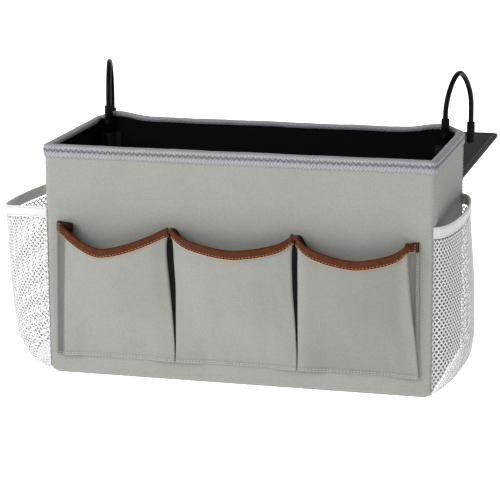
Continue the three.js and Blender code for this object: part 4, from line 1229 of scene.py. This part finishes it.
def makeHingeTape():
    # A flat tape on the back panel behind the flap's root, and stitches through the covers' turned-up edges
    x = np.linspace(-flap["halfX"], flap["halfX"], 120)
    z = np.linspace(flap["tapeFoot"], flap["tapeTop"], 14)[:, None]
    y = box["halfY"] + 0.35 + flap["tape"] / 2 + 0.04 * ripples(joined(x, z), 30, 52)
    addCloth("hingeTape", joined(x, y, z), joined(x, z), flap["tape"], "webbing", "flap_hinge_tape")
    x = np.linspace(-flap["halfX"] + 2, flap["halfX"] - 2, 300)
    face = box["halfY"] + 0.4 + flap["tape"] + flap["cover"]
    rows = [seamOf(joined(x, face, height), (0, 1.0, 0), *flap["stitch"]) for height in (159.3, 162.6, 171.2)]
    addStitches("hingeStitches", rows, 0.1, 0.2, "blackThread")


flapCover("flapTopCloth", 1, "flap_top_cover")
flapCover("flapUnderCloth", -1, "flap_bottom_cover")
makeFlapEdge()
makeHingeTape()
print("flap made")

hook = {
    "x": 164.1, "y": 64.5, "turn": 15, "wire": 2.45, "foot": 140, "spring": 230, "gap": 58, "rise": 35.5,
    "tail": 198.5, "pointed": 0.25, "sides": 28,
}
rubber = {
    "outer": 3.85, "bore": 2.75, "capFoot": 195, "capTop": 215, "capFloor": 2.8, "collarFoot": 209,
    "collarTop": 227, "domeRadius": 1.6,
}
sleeve = {
    "bore": 2.95, "cloth": 1.0, "half": 10, "foot": 135, "top": 200.5, "stitch": (2.4, 0.8), "stitchAt": 6.6,
}


def hookPlace(side, local):
    # From the hook's own frame to the caddy's: turned about the front leg, then moved to it
    angle = -side * math.radians(hook["turn"])
    x, y, z = np.moveaxis(np.asarray(local, float), -1, 0)
    return joined(side * hook["x"] + x * math.cos(angle) - y * math.sin(angle),
                  hook["y"] + x * math.sin(angle) + y * math.cos(angle), z)


def hookLine():
    # Straight up, half an ellipse over that is drawn in towards its top, straight down
    half = hook["gap"] / 2
    angle = np.linspace(math.pi, 0, 60)
    drawn = 1 - hook["pointed"] * np.sin(angle) ** 2
    arch = joined(0, half + half * np.cos(angle) * drawn, hook["spring"] + hook["rise"] * np.sin(angle))
    up = joined(0, 0, np.linspace(hook["foot"], hook["spring"], 40)[:-1])
    down = joined(0, hook["gap"], np.linspace(hook["spring"], hook["tail"], 20)[1:])
    return np.concatenate([up, arch, down])


def lathe(profile, centre, sides=40):
    # Radius and height pairs turned about an upright axis
    radius, height = np.array(profile, float).T[:, :, None]
    turn = np.arange(sides) * 2 * math.pi / sides
    return joined(centre[0] + radius * np.cos(turn), centre[1] + radius * np.sin(turn), height)


def makeWire(side, name):
    # A circle carried along the hook's line, drawn in at both cut ends
    path = hookPlace(side, hookLine())
    ends = np.minimum(pathLength(path), pathLength(path[::-1])[::-1])
    radii = hook["wire"] * np.sqrt(np.clip(1 - (1 - np.clip(ends / 1.6, 0, 1)) ** 2, 0.12, 1))
    along = unit(np.gradient(path, axis=0))
    first = unit(np.cross(along, [1.0, 0, 0]))
    points = path[:, None] + ringOf(first, np.cross(along, first), hook["sides"]) * radii[:, None, None]
    addRings("hookWire_" + name, points, "wire", "hook_wire_" + name, "hook_" + name)


def makeRubber(side, name):
    # Cap: a domed foot, a groove below its lip, and the bore. Collar: a grooved ring round the front leg.
    o, b, dome = rubber["outer"], rubber["bore"], rubber["domeRadius"]
    foot, top, floor = rubber["capFoot"], rubber["capTop"], rubber["capFoot"] + rubber["capFloor"]
    bend = [[o - dome + dome * math.cos(t), foot + dome + dome * math.sin(t)]
            for t in np.linspace(-quarterTurn + 0.02, 0, 8)]
    lip = [[o, top - 3.2], [o, top - 2.9], [o - 0.25, top - 2.6], [o - 0.25, top - 2.2], [o, top - 1.9],
           [o, top - 0.7], [o - 0.35, top - 0.15], [o - 0.7, top], [b, top - 0.1], [b, top - 6],
           [b, floor], [0.3, floor]]
    points = lathe([[0.3, foot], *bend, *lip], hookPlace(side, [0, hook["gap"], 0]))
    addRings("hookCapRubber_" + name, points, "rubber", "hook_cap_" + name, "hook_" + name)
    low, high = rubber["collarFoot"], rubber["collarTop"]
    ring = [[b, low + 0.3], [b + 0.3, low], [o - 0.5, low], [o, low + 0.5], [o, low + 4], [o - 0.2, low + 4.3],
            [o - 0.2, low + 4.7], [o, low + 5], [o, high - 1.0], [o - 0.3, high - 0.3], [o - 0.6, high],
            [b + 0.1, high - 0.1], [b, high - 0.5], [b, (low + high) / 2]]
    points = lathe(ring, (side * hook["x"], hook["y"]))
    faces = wrapped(*points.shape[:2], True)[1]
    addPiece("hookCollarRubber_" + name, points, faces, None, "rubber", "hook_collar_" + name, "collar_" + name)


def makeSleeve(side, name):
    # Plan line of the webbing: flat on the lining, an arch round the wire, flat again; carried down the
    # height
    wall = box["halfY"] - wallThickness - 0.3 - sleeve["cloth"] / 2
    r = sleeve["bore"] + sleeve["cloth"] / 2
    angle = np.linspace(0.25, math.pi - 0.25, 26)
    arch = joined(-r * np.cos(angle), hook["y"] - r * np.sin(angle))
    left = np.concatenate([joined(np.linspace(-sleeve["half"], -r - 1.0, 8), wall),
                           [[-r - 0.3, wall - 0.9], [-r - 0.05, wall - 2.4]]])
    plan = resample(np.concatenate([left, arch, (left * [-1, 1])[::-1]]), 0.7)
    z = np.linspace(sleeve["foot"], sleeve["top"], 60)[:, None]
    grid = joined(side * hook["x"] + plan[:, 0], plan[:, 1], z)
    grid[..., 1] -= 0.08 * (1 + ripples(grid, 22, 61)) * (abs(plan[:, 0]) < r)
    addCloth("sleeveWebbing_" + name, grid, joined(z, pathLength(plan)), sleeve["cloth"], "webbing",
             "hook_sleeve_" + name)
    face = wall - sleeve["cloth"] / 2 - 0.05
    z = np.linspace(sleeve["foot"] + 2, sleeve["top"] - 2, 60)
    rows = [seamOf(joined(side * hook["x"] + x, face, z), forwards, *sleeve["stitch"])
            for x in (-sleeve["stitchAt"], sleeve["stitchAt"])]
    addStitches("sleeveStitches_" + name, rows, 0.1, 0.2, "blackThread")


for side, name in ((-1, "left"), (1, "right")):
    makeWire(side, name)
    makeRubber(side, name)
    makeSleeve(side, name)
print("hooks made")

# Boards stay as they are in the frame; they only get their finish
for name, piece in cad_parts.items():
    if name.endswith("_board"):
        piece.data.materials.clear()
        piece.data.materials.append(looks["board"])
